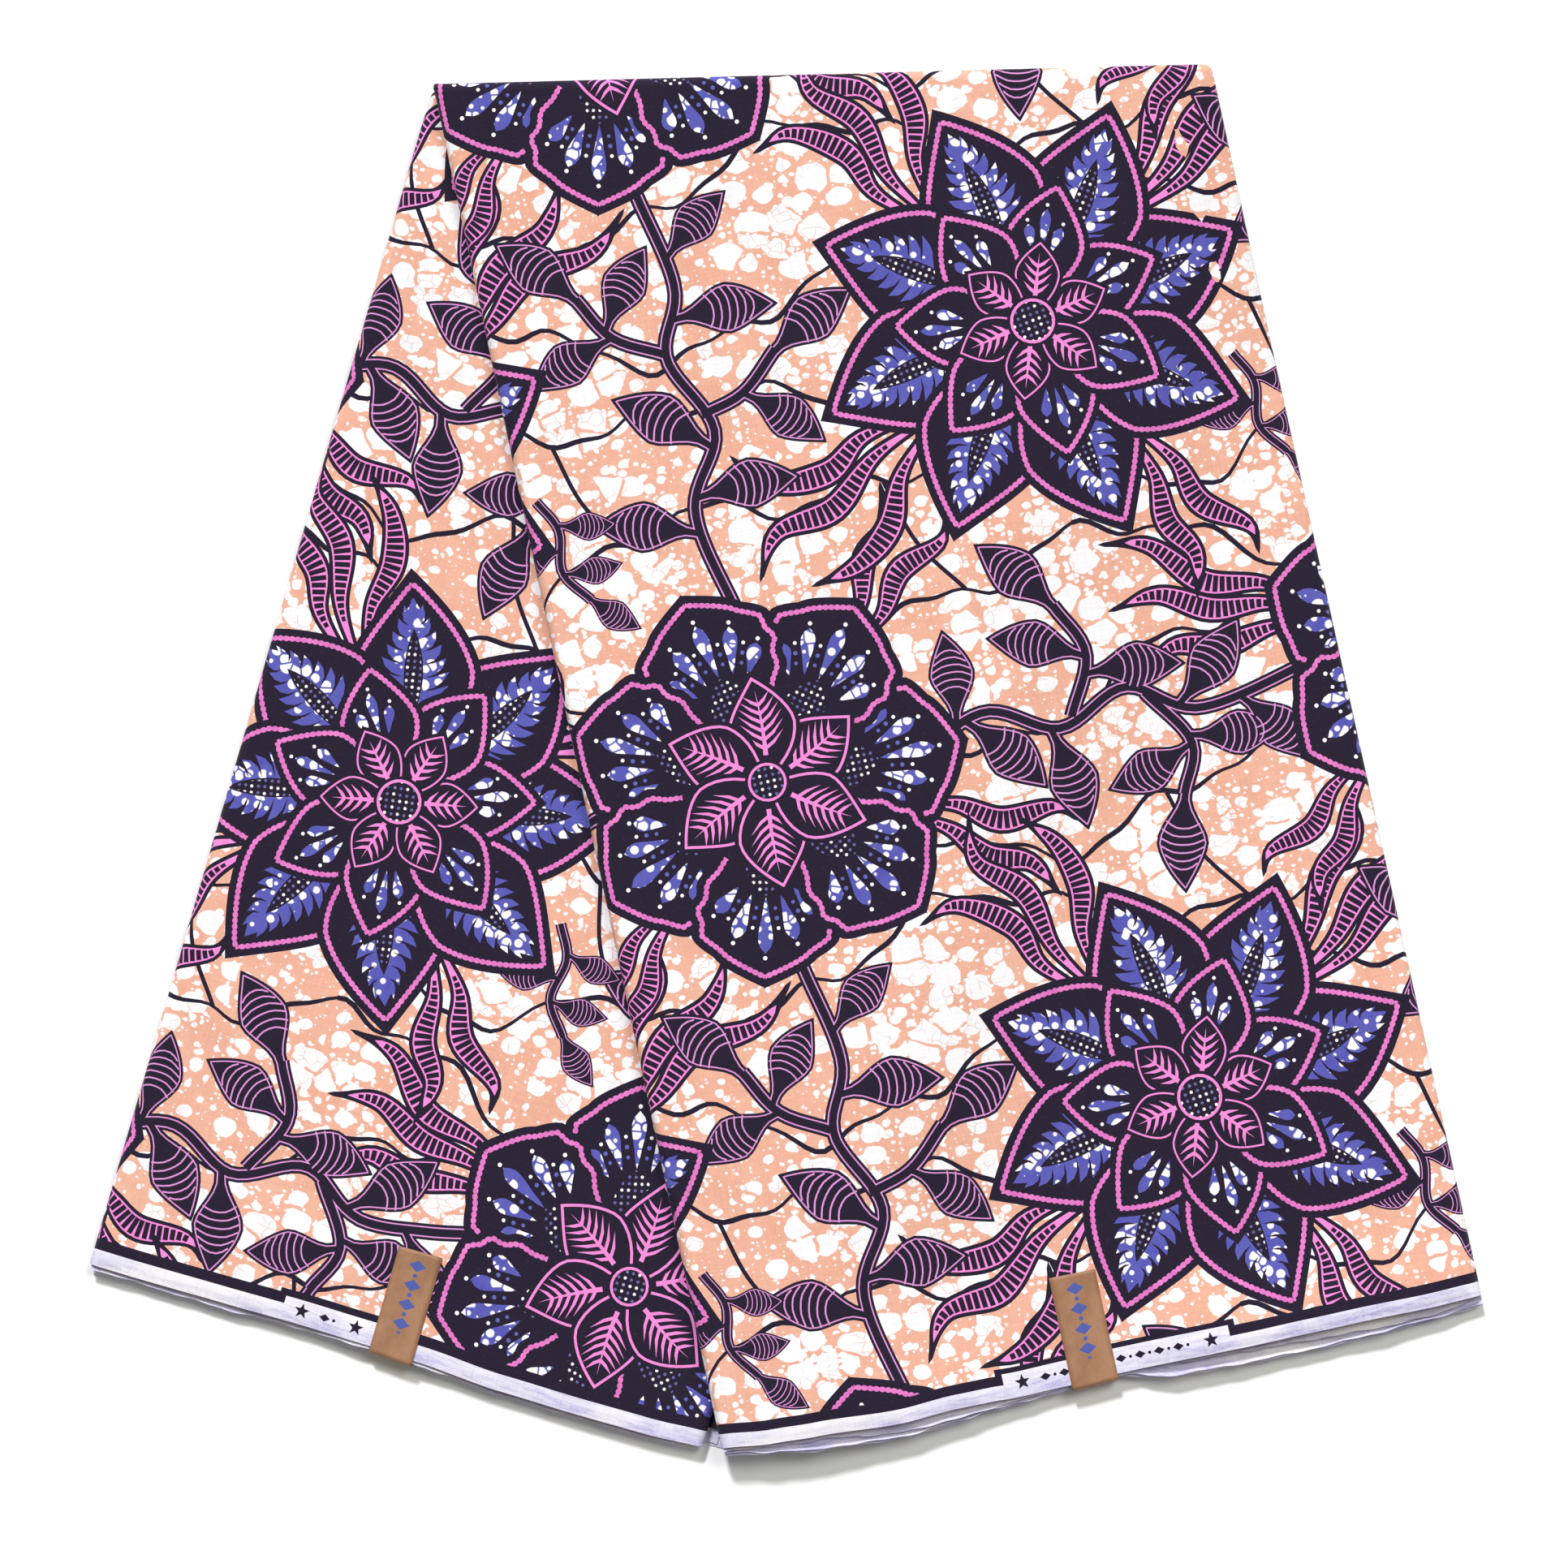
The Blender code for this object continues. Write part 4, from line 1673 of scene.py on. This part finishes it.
def rim_of(triangles: Points) -> Points:
    """Follows the open edge of a sheet of triangles.

    Args:
        triangles: vertex numbers, three to a row.

    Returns:
        The vertex numbers along it in order, once round.
    """
    edges = np.vstack([triangles[:, [0, 1]], triangles[:, [1, 2]], triangles[:, [2, 0]]])
    there = {tuple(e) for e in edges.tolist()}
    after = {a: b for a, b in there if (b, a) not in there}
    start = min(after)
    loop = [start]
    while after[loop[-1]] != start:
        loop.append(after[loop[-1]])
    return np.array(loop)


@dataclass
class Sheet:
    """A piece of cloth or paper on its way to a mesh: points, faces, slots, maps and normals."""

    name: str
    points: list = field(default_factory=list)
    faces: list = field(default_factory=list)
    slots: list = field(default_factory=list)
    maps: dict = field(default_factory=dict)
    normals: list = field(default_factory=list)
    count: int = 0

    def add(
        self, points: Points, faces: Points, slot: int | Points, maps: dict, normals: Points | None = None
    ) -> None:
        """Adds a patch of faces, all with as many corners.

        Args:
            points: its points in metres.
            faces: its faces, by place among its points.
            slot: the material slot of all its faces, or one for each.
            maps: for each map's name, a place for each corner of each face.
            normals: a normal for each corner of each face, or nothing where the faces are flat.
        """
        self.points.append(points)
        self.faces += (np.asarray(faces) + self.count).tolist()
        self.count += len(points)
        self.slots.append(np.broadcast_to(np.asarray(slot), (len(faces),)))
        for key, value in maps.items():
            self.maps.setdefault(key, []).append(value)
        if normals is None:
            corners = points[faces]
            flat = unit(np.cross(corners[:, 1] - corners[:, 0], corners[:, 2] - corners[:, 0]))
            normals = np.repeat(flat, corners.shape[1], 0)
        self.normals.append(normals)

    def make(self, materials: list[bpy.types.Material]) -> bpy.types.Object:
        """Makes the object.

        Args:
            materials: the materials of its slots.

        Returns:
            The object, at the origin.
        """
        points = np.vstack(self.points)
        # Points at one place, to a hundred-thousandth of a millimetre, become one.
        _, first, merged = np.unique(np.round(points * 1e8), axis=0, return_index=True, return_inverse=True)
        merged = merged.ravel()
        corners = np.array([len(f) for f in self.faces])
        faces = [tuple(merged[list(f)]) for f in self.faces]
        whole = np.array([len(set(f)) == len(f) for f in faces])
        keep = np.repeat(whole, corners)
        mesh = bpy.data.meshes.new(self.name)
        mesh.from_pydata(points[first].tolist(), [], [f for f, w in zip(faces, whole) if w])
        for material in materials:
            mesh.materials.append(material)
        mesh.polygons.foreach_set("material_index", np.concatenate(self.slots)[whole].astype(np.int32))
        mesh.polygons.foreach_set("use_smooth", np.ones(int(whole.sum()), bool))
        for key, values in self.maps.items():
            layer = mesh.uv_layers.new(name=key)
            layer.uv.foreach_set("vector", np.vstack(values)[keep].astype(np.float32).ravel())
        mesh.normals_split_custom_set(np.vstack(self.normals)[keep].tolist())
        mesh.update()
        made = bpy.data.objects.new(self.name, mesh)
        bpy.context.scene.collection.objects.link(made)
        return made


def soft_normals(points: Points, faces: Points) -> Points:
    """A soft normal for each corner of four-sided faces.

    Args:
        points: the vertices.
        faces: the faces, as vertex numbers.

    Returns:
        One normal for each corner, in the faces' order.
    """
    flat = np.cross(points[faces[:, 2]] - points[faces[:, 0]], points[faces[:, 3]] - points[faces[:, 1]])
    total = np.zeros_like(points)
    for corner in faces.T:
        np.add.at(total, corner, flat)
    return unit(total)[faces].reshape(-1, 3)


@dataclass
class TopPly:
    """The printed top ply of a leaf, cut along every shape of its print."""

    leaf: Leaf
    sketch: Sketch
    grid: float = 9.0

    def shapes(self) -> list[Shape]:
        """Gathers the print's shapes that reach this leaf, undermost first, the border last.

        Returns:
            The shapes, moved to the leaf's own mm across and up.
        """
        low = np.array([-14.0, 0.0])
        high = np.array([self.leaf.width + 14.0, 660.0])
        found = []
        for i in range(-2, 3):
            for j in range(-2, 4):
                move = np.array(self.leaf.repeat_at) + (i * Repeat.ACROSS, j * Repeat.UP)
                for k, s in enumerate(self.sketch.shapes):
                    outline = s.outline + move
                    if (outline.max(0) >= low).all() and (outline.min(0) <= high).all():
                        found.append((s.layer, i, j, k, replace(s, outline=outline, start=s.start + move)))
        found.sort(key=lambda f: f[:4])
        border = Sketch()
        Border(self.leaf).draw(Pen(border))
        reaching = [f[-1] for f in found] + border.shapes
        turned = [facing_up(s.outline) for s in reaching]
        return [replace(s, outline=line) for s, line in zip(reaching, turned) if line is not None]

    def cut(self) -> tuple[Points, Points, list[Shape], Points]:
        """Cuts the flat ply along its print.

        Returns:
            Flat points, triangles, the shapes, and for each triangle the place of its shape.
        """
        leaf = self.leaf
        rim = leaf.contour(leaf.margin, (0.0, 0.0), 8.0)
        foot = np.linspace(rim[-1], rim[0], int(leaf.width / 4.0))[1:-1]
        outline = np.vstack([rim, foot])[::-1]
        points, edges, faces = list(outline), [], [list(range(len(outline)))]
        first, second, end = leaf.bends
        stops = [0.02, 1.2, 2.4, 3.6, 4.8, 6.0, first]
        stops += [second + (end - second) * t for t in (0.0, 0.35, 0.7, 1.0)]
        for past in stops:
            line = leaf.contour(past, (0.0, 0.0), 8.0)
            edges += [(len(points) + i, len(points) + i + 1) for i in range(len(line) - 1)]
            points += list(line)
        x = np.arange(2.0, leaf.width, 4.0)
        near_edge = [xy(x, up) for up in (0.9, 1.9, 4.1)]
        inner = grid_inside((2.0, 3.0), (leaf.width, POINTS_REACH), self.grid)
        points += list(leaf.on_face(np.vstack([inner, *near_edge])))
        shapes = self.shapes()
        for s in shapes:
            faces.append(list(range(len(points), len(points) + len(s.outline))))
            points += list(s.outline)
        log.info("%s leaf: %d shapes, %d points to cut through", leaf.name, len(shapes), len(points))
        found = delaunay_2d_cdt([Vector(p) for p in points], edges, faces, 1, 1e-4, True)
        # The first face is the ply itself, and of the shapes round a triangle the last lies on top.
        kept = [(triangle, max(sources)) for triangle, sources in zip(found[2], found[5]) if 0 in sources]
        used, fresh = np.unique([triangle for triangle, _ in kept], return_inverse=True)
        flat = np.array([tuple(v) for v in found[0]])[used]
        return flat, fresh.reshape(-1, 3), shapes, np.array([owner for _, owner in kept])

    def build(self, inks: list[bpy.types.Material]) -> bpy.types.Object:
        """Builds the ply as a thin closed sheet.

        Args:
            inks: the inks' materials, in the order of Ink.

        Returns:
            The object.
        """
        leaf, sheet = self.leaf, Sheet(f"{self.leaf.name}_top_ply")
        flat, triangles, shapes, owner = self.cut()
        places, normals = leaf.top(flat), leaf.normals(flat)
        shapes = [Shape(flat, Ink.GROUND, 0), *shapes]
        starts, runs = (np.array([getattr(s, key) for s in shapes]) for key in ("start", "run"))
        begun = np.array([s.begun for s in shapes])
        slot_of = np.array([s.ink.place for s in shapes])
        corners = flat[triangles].reshape(-1, 2)
        whose = np.repeat(owner, 3)
        off = corners - starts[whose]
        along = (off * runs[whose]).sum(1) + begun[whose]
        aside = off[:, 1] * runs[whose][:, 0] - off[:, 0] * runs[whose][:, 1]
        maps = {
            "cloth": corners / MAP_UNIT,
            "motif": xy(along, aside) / MAP_UNIT,
            "OFBake": (corners + (16.0, 4.0)) / BAKE_SPAN,
        }
        sheet.add(places, triangles, slot_of[owner], maps, normals[triangles].reshape(-1, 3))
        self.back(sheet, flat, triangles, places)
        return sheet.make(inks)

    def back(self, sheet: Sheet, flat: Points, triangles: Points, places: Points) -> None:
        """Adds the ply's under surface and its cut edge.

        Args:
            sheet: what the ply is built in.
            flat: the printed side's flat points.
            triangles: its triangles.
            places: its points in the frame.
        """
        leaf = self.leaf
        rim = rim_of(triangles)
        coarse = grid_inside((1.0, 60.0), (leaf.width, POINTS_REACH), 14.0)
        fine = grid_inside((1.0, 1.4), (leaf.width, 56.0), 4.0)
        stops = (0.02, 1.8, 3.6, 5.4, 7.07, leaf.bends[2])
        lines = [leaf.contour(past, (3.0, 3.0), 12.0) for past in stops]
        inner = np.vstack([leaf.on_face(np.vstack([coarse, fine])), *lines])
        points, faces = triangulate(flat[rim], inner)
        normals = leaf.normals(points)
        under = leaf.top(points) - normals * COTTON * MM
        faces = faces[:, ::-1]
        corners = points[faces].reshape(-1, 2)
        maps = {
            "cloth": corners / MAP_UNIT,
            "motif": np.zeros_like(corners),
            "OFBake": (corners * 0.42 + (400.0, 4.0)) / BAKE_SPAN,
        }
        sheet.add(under, faces, Ink.GROUND.place, maps, -normals[faces].reshape(-1, 3))
        count = len(rim)
        wall = np.vstack([places[rim], under[:count]])
        here = np.arange(count)
        ahead = np.roll(here, -1)
        down = np.tile([0.0, 0.0, 1.0, 1.0], count)
        spread = xy(np.repeat(np.linspace(0, 8.0, count), 4), COTTON / MAP_UNIT * down)
        u = 0.01 + 0.98 * np.arange(count + 1) / count
        bake = xy(quads(u[1:], u[:-1], u[:-1], u[1:]).ravel(), 0.985 - 0.01 * down)
        maps = {"cloth": spread, "motif": np.zeros_like(spread), "OFBake": bake}
        sheet.add(wall, quads(ahead, here, count + here, count + ahead), Ink.SELVAGE.place, maps)


@dataclass(frozen=True)
class Border:
    """The bare selvage and the printed line beside it, which steps aside round a row of small marks."""

    leaf: Leaf

    def draw(self, pen: Pen) -> None:
        """Draws the border over everything else.

        Args:
            pen: stands at the leaf's low left corner.
        """
        low, high = -30.0, self.leaf.width + 30.0
        start, end, rise, thin = self.leaf.notch
        inner = self.leaf.selvage
        outer, top = inner + self.leaf.border, inner + rise
        for ink, foot, side, past, over in (
            (Ink.NAVY, 0.0, outer, 3.0, top + thin),
            (Ink.SELVAGE, -5.0, inner, 0.0, top),
        ):
            step = [(end + past, side), (end + past, over), (start - past, over), (start - past, side)]
            pen.fill(closer([(low, foot), (high, foot), (high, side), *step, (low, side)]), ink)
        middle = 0.56 * top
        turn = np.radians(90 + 36.0 * np.arange(10))
        reach = np.where(np.arange(10) % 2, 0.42, 1.0) * 3.6
        for x in (start + 8.5, end - 8.5):
            pen.fill(xy(x + reach * np.cos(turn), middle + reach * np.sin(turn)), Ink.NAVY)
        for x in np.arange(start + 19.0, end - 15.0, 8.6):
            pen.fill([(x - 2.5, middle), (x, middle - 1.7), (x + 2.5, middle), (x, middle + 1.7)], Ink.NAVY)
            pen.disc(x + 4.3, middle, 0.75, Ink.NAVY)


@dataclass(frozen=True)
class LowerPly:
    """One ply that shows at a leaf's cut edges, sizes in mm.

    It leaves the stack at its height, stands out as its column of the edge table says, less an amount of
    its own, and droops on the way. The phase shifts its waves, and the lip turns its very edge up.
    """

    number: int
    height: float
    column: int
    less: float
    droop: float
    phase: float
    past_right: float = 0.0
    lip: float = 0.0


@dataclass
class HiddenPlies:
    """The rest of a leaf's plies: the stack, rounded at every fold, and those that part at the cut edges."""

    leaf: Leaf
    plies: tuple[LowerPly, ...]
    loops: tuple[float, ...]
    set_back: float = 9.0
    cap: float = 8.4

    def rings(self) -> list[tuple[float, float]]:
        """The stack's side.

        Returns:
            From the floor up, heights and how far inside the fold line the side lies there, mm.
        """
        rings = []
        bounds = (0.0, *self.loops, self.cap)
        for low, high in zip(bounds, bounds[1:]):
            middle, half = 0.5 * (low + high), 0.5 * (high - low)
            least = 0.7 if high <= self.leaf.turn_under + 0.2 else 1.3
            for angle in (-74.0, -40.0, -12.0, 12.0, 40.0, 74.0):
                a = math.radians(angle)
                height, inside = middle + half * math.sin(a), least + 1.25 * half * (1.0 - math.cos(a))
                rise = min(1.0, (height - (FACE_HEIGHT - FOLD_RADIUS)) / (FOLD_RADIUS - 0.8))
                if rise > 0.0:
                    inside = max(inside, 0.8 + FOLD_RADIUS * (1.0 - math.sqrt(1.0 - rise**2)))
                rings.append((height, min(inside, 4.3)))
        return rings

    def front(self, across: Points) -> Points:
        """Where the stack's front lies, mm up the leaf."""
        return self.leaf.edge_up(across) + self.set_back

    def build(self, finishes: list[bpy.types.Material]) -> bpy.types.Object:
        """Builds the stack and its parted plies as one piece.

        Args:
            finishes: materials for the folds, the selvage, the border and the ground.

        Returns:
            The object.
        """
        sheet = Sheet(f"{self.leaf.name}_folded_plies")
        self.stack(sheet)
        for ply in self.plies:
            self.strip(sheet, ply)
        return sheet.make(finishes)

    def stack(self, sheet: Sheet) -> None:
        """Adds the folded stack.

        Args:
            sheet: the mesh in the making.
        """
        leaf, loops = self.leaf, []
        feet = self.front(np.array([0.0, leaf.width]))
        for height, inside in self.rings():
            line = leaf.contour(FOLD_RADIUS - inside, feet, 7.0)
            past = np.maximum(0.0, (line[:, 0] - 0.5 * leaf.width) / (0.5 * leaf.width))
            line[:, 0] += self.step_at(height) * smooth_step(0.9, 1.0, past)
            x = np.linspace(line[-1, 0], line[0, 0], 48)[1:-1]
            loops.append((height, np.vstack([line, xy(x, self.front(x))])))
        self.side(sheet, loops)
        for (height, line), way in ((loops[0], -1), (loops[-1], 1)):
            low, high = line.min(0), line.max(0)
            flat, found = triangulate(line[::-1], grid_inside(low + 3.0, high - 3.0, 15.0))
            found = found[:, ::way]
            cloth = flat[found].reshape(-1, 2) / MAP_UNIT
            sheet.add(leaf.world(flat, height), found, 3, {"cloth": cloth})

    def side(self, sheet: Sheet, loops: list[tuple[float, Points]]) -> None:
        """Adds the stack's side, with its map running on round it and each fold's part moved along.

        Args:
            sheet: the mesh in the making.
            loops: from the floor up, heights and the closed lines round the stack there, mm.
        """
        count = len(loops[0][1])
        gone = gone_along(loops[0][1])
        gone = np.append(gone, gone[-1] + 4.0)
        heights = np.array([height for height, _ in loops])
        points = np.vstack([self.leaf.world(line, height) for height, line in loops])
        grid = np.arange(len(loops) * (count + 1)).reshape(len(loops), count + 1)
        corners = quads(grid[:-1, 1:], grid[:-1, :-1], grid[1:, :-1], grid[1:, 1:])
        level, place = np.divmod(corners, count + 1)
        faces = level * count + place % count
        moved = 3.7 * (level.min(1) // 6)
        cloth = np.stack([gone[place] / MAP_UNIT + moved[:, None], heights[level] / MAP_UNIT], 2)
        sheet.add(points, faces, 0, {"cloth": cloth.reshape(-1, 2)}, soft_normals(points, faces))

    def step_at(self, height: float) -> float:
        """How far the lower plies reach out past the fold on the leaf's right, mm."""
        return self.leaf.step_out * (1.0 - 0.4 * height / 3.0) if height <= 3.0 else 0.0

    def held(self, across: Points) -> Points:
        """How firmly the paper band holds the plies down, 0 to 1."""
        low, high = self.leaf.band
        return smooth_step(low - 16, low - 1, across) * (1.0 - smooth_step(high + 1, high + 16, across))

    def strip(self, sheet: Sheet, ply: LowerPly) -> None:
        """Adds one ply that parts from the stack towards its cut edge.

        Args:
            sheet: the mesh in the making.
            ply: the ply to add.
        """
        leaf = self.leaf
        left, right = 1.0, leaf.width - 1.0 + ply.past_right
        x = np.linspace(left, right, int((right - left) / 3.0))
        held = self.held(x)
        stand = leaf.read_edge(ply.column, x) - ply.less
        stand = stand + 0.25 * np.sin(0.21 * x + ply.phase) + 0.18 * np.sin(0.47 * x + 2.1 * ply.phase)
        edge = leaf.edge_up(np.clip(x, 0, leaf.width), np.minimum(stand, 1.6 + 20.0 * (1.0 - held)))
        root = self.front(x) + 5.0
        rows = np.array([0.0, 0.3, 0.6, 1.0, 1.5, 2.4, 3.6, 5.0, 6.4, leaf.selvage, 9.0, 11.0, 12.6])
        wave = 0.32 * np.sin(0.052 * x + ply.phase) + 0.22 * np.sin(0.117 * x + 1.7 * ply.phase)
        wave = wave * (1.0 - 0.8 * held)
        sunk = np.interp(x, *np.array(leaf.sink).T)
        lifted = leaf.lifted(x) * (ply.height / FACE_HEIGHT) ** 2
        lip = ply.lip * (1.0 - held) * (0.75 + 0.25 * np.sin(0.07 * x + 2.0 * ply.phase))
        lines = []
        for r in rows:
            up = np.minimum(edge + r, root)
            near = 1.0 - smooth_step(0.0, 1.0, (up - edge) / np.maximum(root - edge, 1e-6))
            height = ply.height + near * (wave - ply.droop * (1 - held)) - 0.12 * (r < 0.2)
            height = height + near * sunk * (0.4 - 0.67 * height) + near * lifted
            height = height + lip * max(0.0, 1.0 - r / 1.6) ** 1.5
            lines.append(leaf.world(xy(x, up), np.maximum(height, 0.5)))
        top = np.vstack(lines)
        nr, nx = len(rows), len(x)
        over = np.arange(nr * nx).reshape(nr, nx)
        under = over + nr * nx
        patches = (
            (over[:-1, :-1], over[:-1, 1:], over[1:, 1:], over[1:, :-1]),
            (under[:-1, :-1], under[1:, :-1], under[1:, 1:], under[:-1, 1:]),
            (over[:1, 1:], over[:1, :-1], under[:1, :-1], under[:1, 1:]),
            (over[-1:, :-1], over[-1:, 1:], under[-1:, 1:], under[-1:, :-1]),
            (over[:-1, :1], over[1:, :1], under[1:, :1], under[:-1, :1]),
            (over[1:, -1:], over[:-1, -1:], under[:-1, -1:], under[1:, -1:]),
        )
        faces = np.vstack([quads(*patch) for patch in patches])
        row, column = faces % (nr * nx) // nx, faces % nx
        slots = np.where(rows[row.min(1)] < leaf.selvage - 0.1, 1, 2)
        cloth = xy(x[column.ravel()] + 37.0 * ply.number, rows[row.ravel()]) / MAP_UNIT
        sheet.add(np.vstack([top, top - (0, 0, LOWER_COTTON * MM)]), faces, slots, {"cloth": cloth})


@dataclass
class PaperBand:
    """A strip of brown paper, over the top ply, round the cut edges and back under them."""

    leaf: Leaf
    on_top: float = 47.0
    under: float = 24.0
    past: float = 2.5
    bend: float = 1.8
    paper: float = 0.3
    lift: float = 10.4
    crown: float = 0.12

    def path(self) -> Points:
        """The strip's line, seen from the side.

        Returns:
            How far past the cut edge, and how high, mm, from its upper end round the edge to its lower end.
        """
        end, bend, top = self.past + 0.6, self.bend + 0.6, self.lift
        shares = (0.0, 0.03, 0.1, 0.2, 0.35, 0.5, 0.65, 0.8, 0.92)
        turn = [math.radians(15.0 * step) for step in range(7)]
        line = [(-self.on_top + self.on_top * t, top - 0.30 * math.sin(math.pi * t)) for t in shares]
        line += [(end - bend + bend * math.sin(a), top - bend + bend * math.cos(a)) for a in turn]
        line += [(end - 0.25, 0.5 * top), (end - 0.1, 3.4)]
        line += [(end - bend + bend * math.cos(a), bend - bend * math.sin(a)) for a in turn]
        line += [(-self.under * t, 0.0) for t in (0.1, 0.5, 1.0)]
        return np.array(line)

    def build(self, finish: bpy.types.Material) -> bpy.types.Object:
        """Builds the strip with its thickness.

        Args:
            finish: the paper.

        Returns:
            The object.
        """
        low, high = self.leaf.band
        across, line = np.linspace(high, low, 9), self.path()
        grid = np.arange(len(line) * len(across)).reshape(len(line), len(across))
        row, column = np.divmod(grid.ravel(), len(across))
        past, height = line[row].T
        crown = self.crown * np.sin(math.pi * ((across[column] - low) / (high - low))) * (height > 5)
        points = self.leaf.on_grid(across[column], GRID_LENGTH + past, height + crown)
        faces = quads(grid[:-1, :-1], grid[:-1, 1:], grid[1:, 1:], grid[1:, :-1])
        cloth = xy(gone_along(line)[row], across[column] - low)[faces.ravel()] / MAP_UNIT
        sheet = Sheet(f"{self.leaf.name}_paper_band")
        sheet.add(points, faces, 0, {"cloth": cloth}, soft_normals(points, faces))
        made = sheet.make([finish])
        bpy.context.view_layer.objects.active = made
        wall = made.modifiers.new("paper", "SOLIDIFY")
        wall.thickness, wall.offset = self.paper * MM, -1.0
        bpy.ops.object.modifier_apply(modifier=wall.name)
        return made


# The studio and the whole.


@dataclass(frozen=True)
class Lamp:
    """A broad, even lamp: its strength, and in degrees its spread, height and turn right of the top folds."""

    name: str
    strength: float
    spread: float
    rise: float
    from_right: float
    colour: tuple[float, float, float]

    def hang(self) -> None:
        """Adds the lamp to the scene."""
        data = bpy.data.lights.new(self.name, "SUN")
        data.energy, data.angle, data.color = self.strength, math.radians(self.spread), self.colour
        made = bpy.data.objects.new(self.name, data)
        turn, rise = math.radians(self.from_right), math.radians(self.rise)
        source = Vector((math.sin(turn) * math.cos(rise), math.cos(turn) * math.cos(rise), math.sin(rise)))
        made.rotation_euler = (-source).to_track_quat("-Z", "Y").to_euler()
        made.location = source * 3.0
        bpy.context.scene.collection.objects.link(made)


@dataclass
class Studio:
    """A plain white surface, soft light from above the top folds, and the camera almost straight above."""

    distance: float = 3.2
    framed: float = 0.6955
    tilt: float = 89.0
    lamps: tuple[Lamp, ...] = (
        Lamp("main_softbox", 2.8, 8.0, 46.0, -16.0, (0.985, 0.985, 1.03)),
        Lamp("second_softbox", 1.14, 24.0, 58.0, 42.0, (1.0, 1.0, 0.95)),
    )
    surround: float = 0.2
    aim: tuple[float, float, float] = (-0.00094, -0.01058, 0.012)

    def build(self) -> None:
        """Sets up the surface, the lights, the surroundings and the camera."""
        bpy.ops.object.select_all(action="DESELECT")
        bpy.ops.mesh.primitive_plane_add(size=9.0, location=(0, 0, -0.0001))
        floor = bpy.context.active_object
        floor.name = "white_surface"
        floor.data.materials.append(WhiteSurface().make())
        for lamp in self.lamps:
            lamp.hang()
        world = bpy.context.scene.world = bpy.context.scene.world or bpy.data.worlds.new("studio")
        world.use_nodes = True
        background = world.node_tree.nodes["Background"]
        background.inputs["Color"].default_value = (1.0, 1.0, 0.93, 1.0)
        background.inputs["Strength"].default_value = self.surround
        self.camera()
        bpy.context.scene.view_settings.view_transform = "Standard"

    def camera(self) -> None:
        """Adds the camera, almost straight above."""
        data = bpy.data.cameras.new("camera")
        data.sensor_width = 36.0
        data.lens = 36.0 * self.distance / self.framed
        made = bpy.data.objects.new("camera", data)
        tilt = math.radians(self.tilt)
        offset = Vector((0.0, -math.cos(tilt), math.sin(tilt))) * self.distance
        made.location = Vector(self.aim) + offset
        made.rotation_euler = (-offset).to_track_quat("-Z", "Y").to_euler()
        bpy.context.scene.collection.objects.link(made)
        bpy.context.scene.camera = made


LEFT_PLIES = (
    LowerPly(2, 8.4, SECOND, -1.3, 0.5, 0.4, lip=0.9),
    LowerPly(3, 7.2, SECOND, 0.2, 0.6, 1.9),
    LowerPly(4, 5.8, THIRD, -0.6, 0.9, 3.0),
    LowerPly(5, 4.5, THIRD, 0.6, 0.6, 4.4),
    LowerPly(6, 3.3, THIRD, 0.6, 0.5, 5.3),
    LowerPly(7, 2.1, LOWEST, 0.5, 0.5, 0.9, 6.8),
    LowerPly(8, 0.9, LOWEST, 0.0, 0.3, 2.4, 10.0),
)
RIGHT_PLIES = (
    LowerPly(2, 8.1, SECOND, 0.0, 0.6, 1.1, lip=0.7),
    LowerPly(3, 6.8, THIRD, 0.0, 0.9, 2.7, lip=2.1),
    LowerPly(4, 5.6, THIRD, -0.9, 1.0, 0.2, lip=0.7),
    LowerPly(5, 4.6, THIRD, 2.2, 0.8, 3.9),
    LowerPly(6, 3.5, THIRD, 1.2, 0.6, 5.1, lip=0.6),
    LowerPly(7, 2.3, LOWEST, 1.7, 0.6, 1.6),
    LowerPly(8, 1.0, LOWEST, 1.2, 0.3, 4.6),
)


def dress(
    leaf: Leaf, plies: tuple[LowerPly, ...], loops: tuple[float, ...], sketch: Sketch, finishes: dict
) -> None:
    """Builds one leaf's pieces, attaches them to the root body and hides the parts that they replace.

    Args:
        leaf: the leaf.
        plies: its lower plies.
        loops: heights of the creases between the folds at its sides, mm.
        sketch: the print's repeat.
        finishes: the materials by name.
    """
    inks = finishes["inks"]
    top = TopPly(leaf, sketch).build(inks)
    shown = [finishes["folds"], *(inks[ink.place] for ink in (Ink.SELVAGE, Ink.NAVY, Ink.GROUND))]
    rest = HiddenPlies(leaf, plies, loops).build(shown)
    band = PaperBand(leaf).build(finishes["paper"])
    for piece, node in ((top, "leaf_face"), (rest, "leaf_core"), (band, "band")):
        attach(piece, "root")
        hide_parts(f"{leaf.name}_{node}")
        log.info("%s: %d faces", piece.name, len(piece.data.polygons))


def main() -> None:
    """Builds the cloth, its bands and the studio, and reports each piece."""
    logging.basicConfig(level=logging.INFO, format="%(name)s %(message)s")
    bpy.ops.object.select_all(action="DESELECT")
    finishes = {
        "inks": [ink.make() for ink in INKS],
        "folds": FoldEdge().make(),
        "paper": BrownPaper().make(),
    }
    Studio().build()
    sketch = Repeat().draw()
    dress(LEFT, LEFT_PLIES, (1.8, 3.6, 6.0), sketch, finishes)
    dress(RIGHT, RIGHT_PLIES, (1.7, 3.6, 6.0), sketch, finishes)


if __name__ == "__main__":
    main()
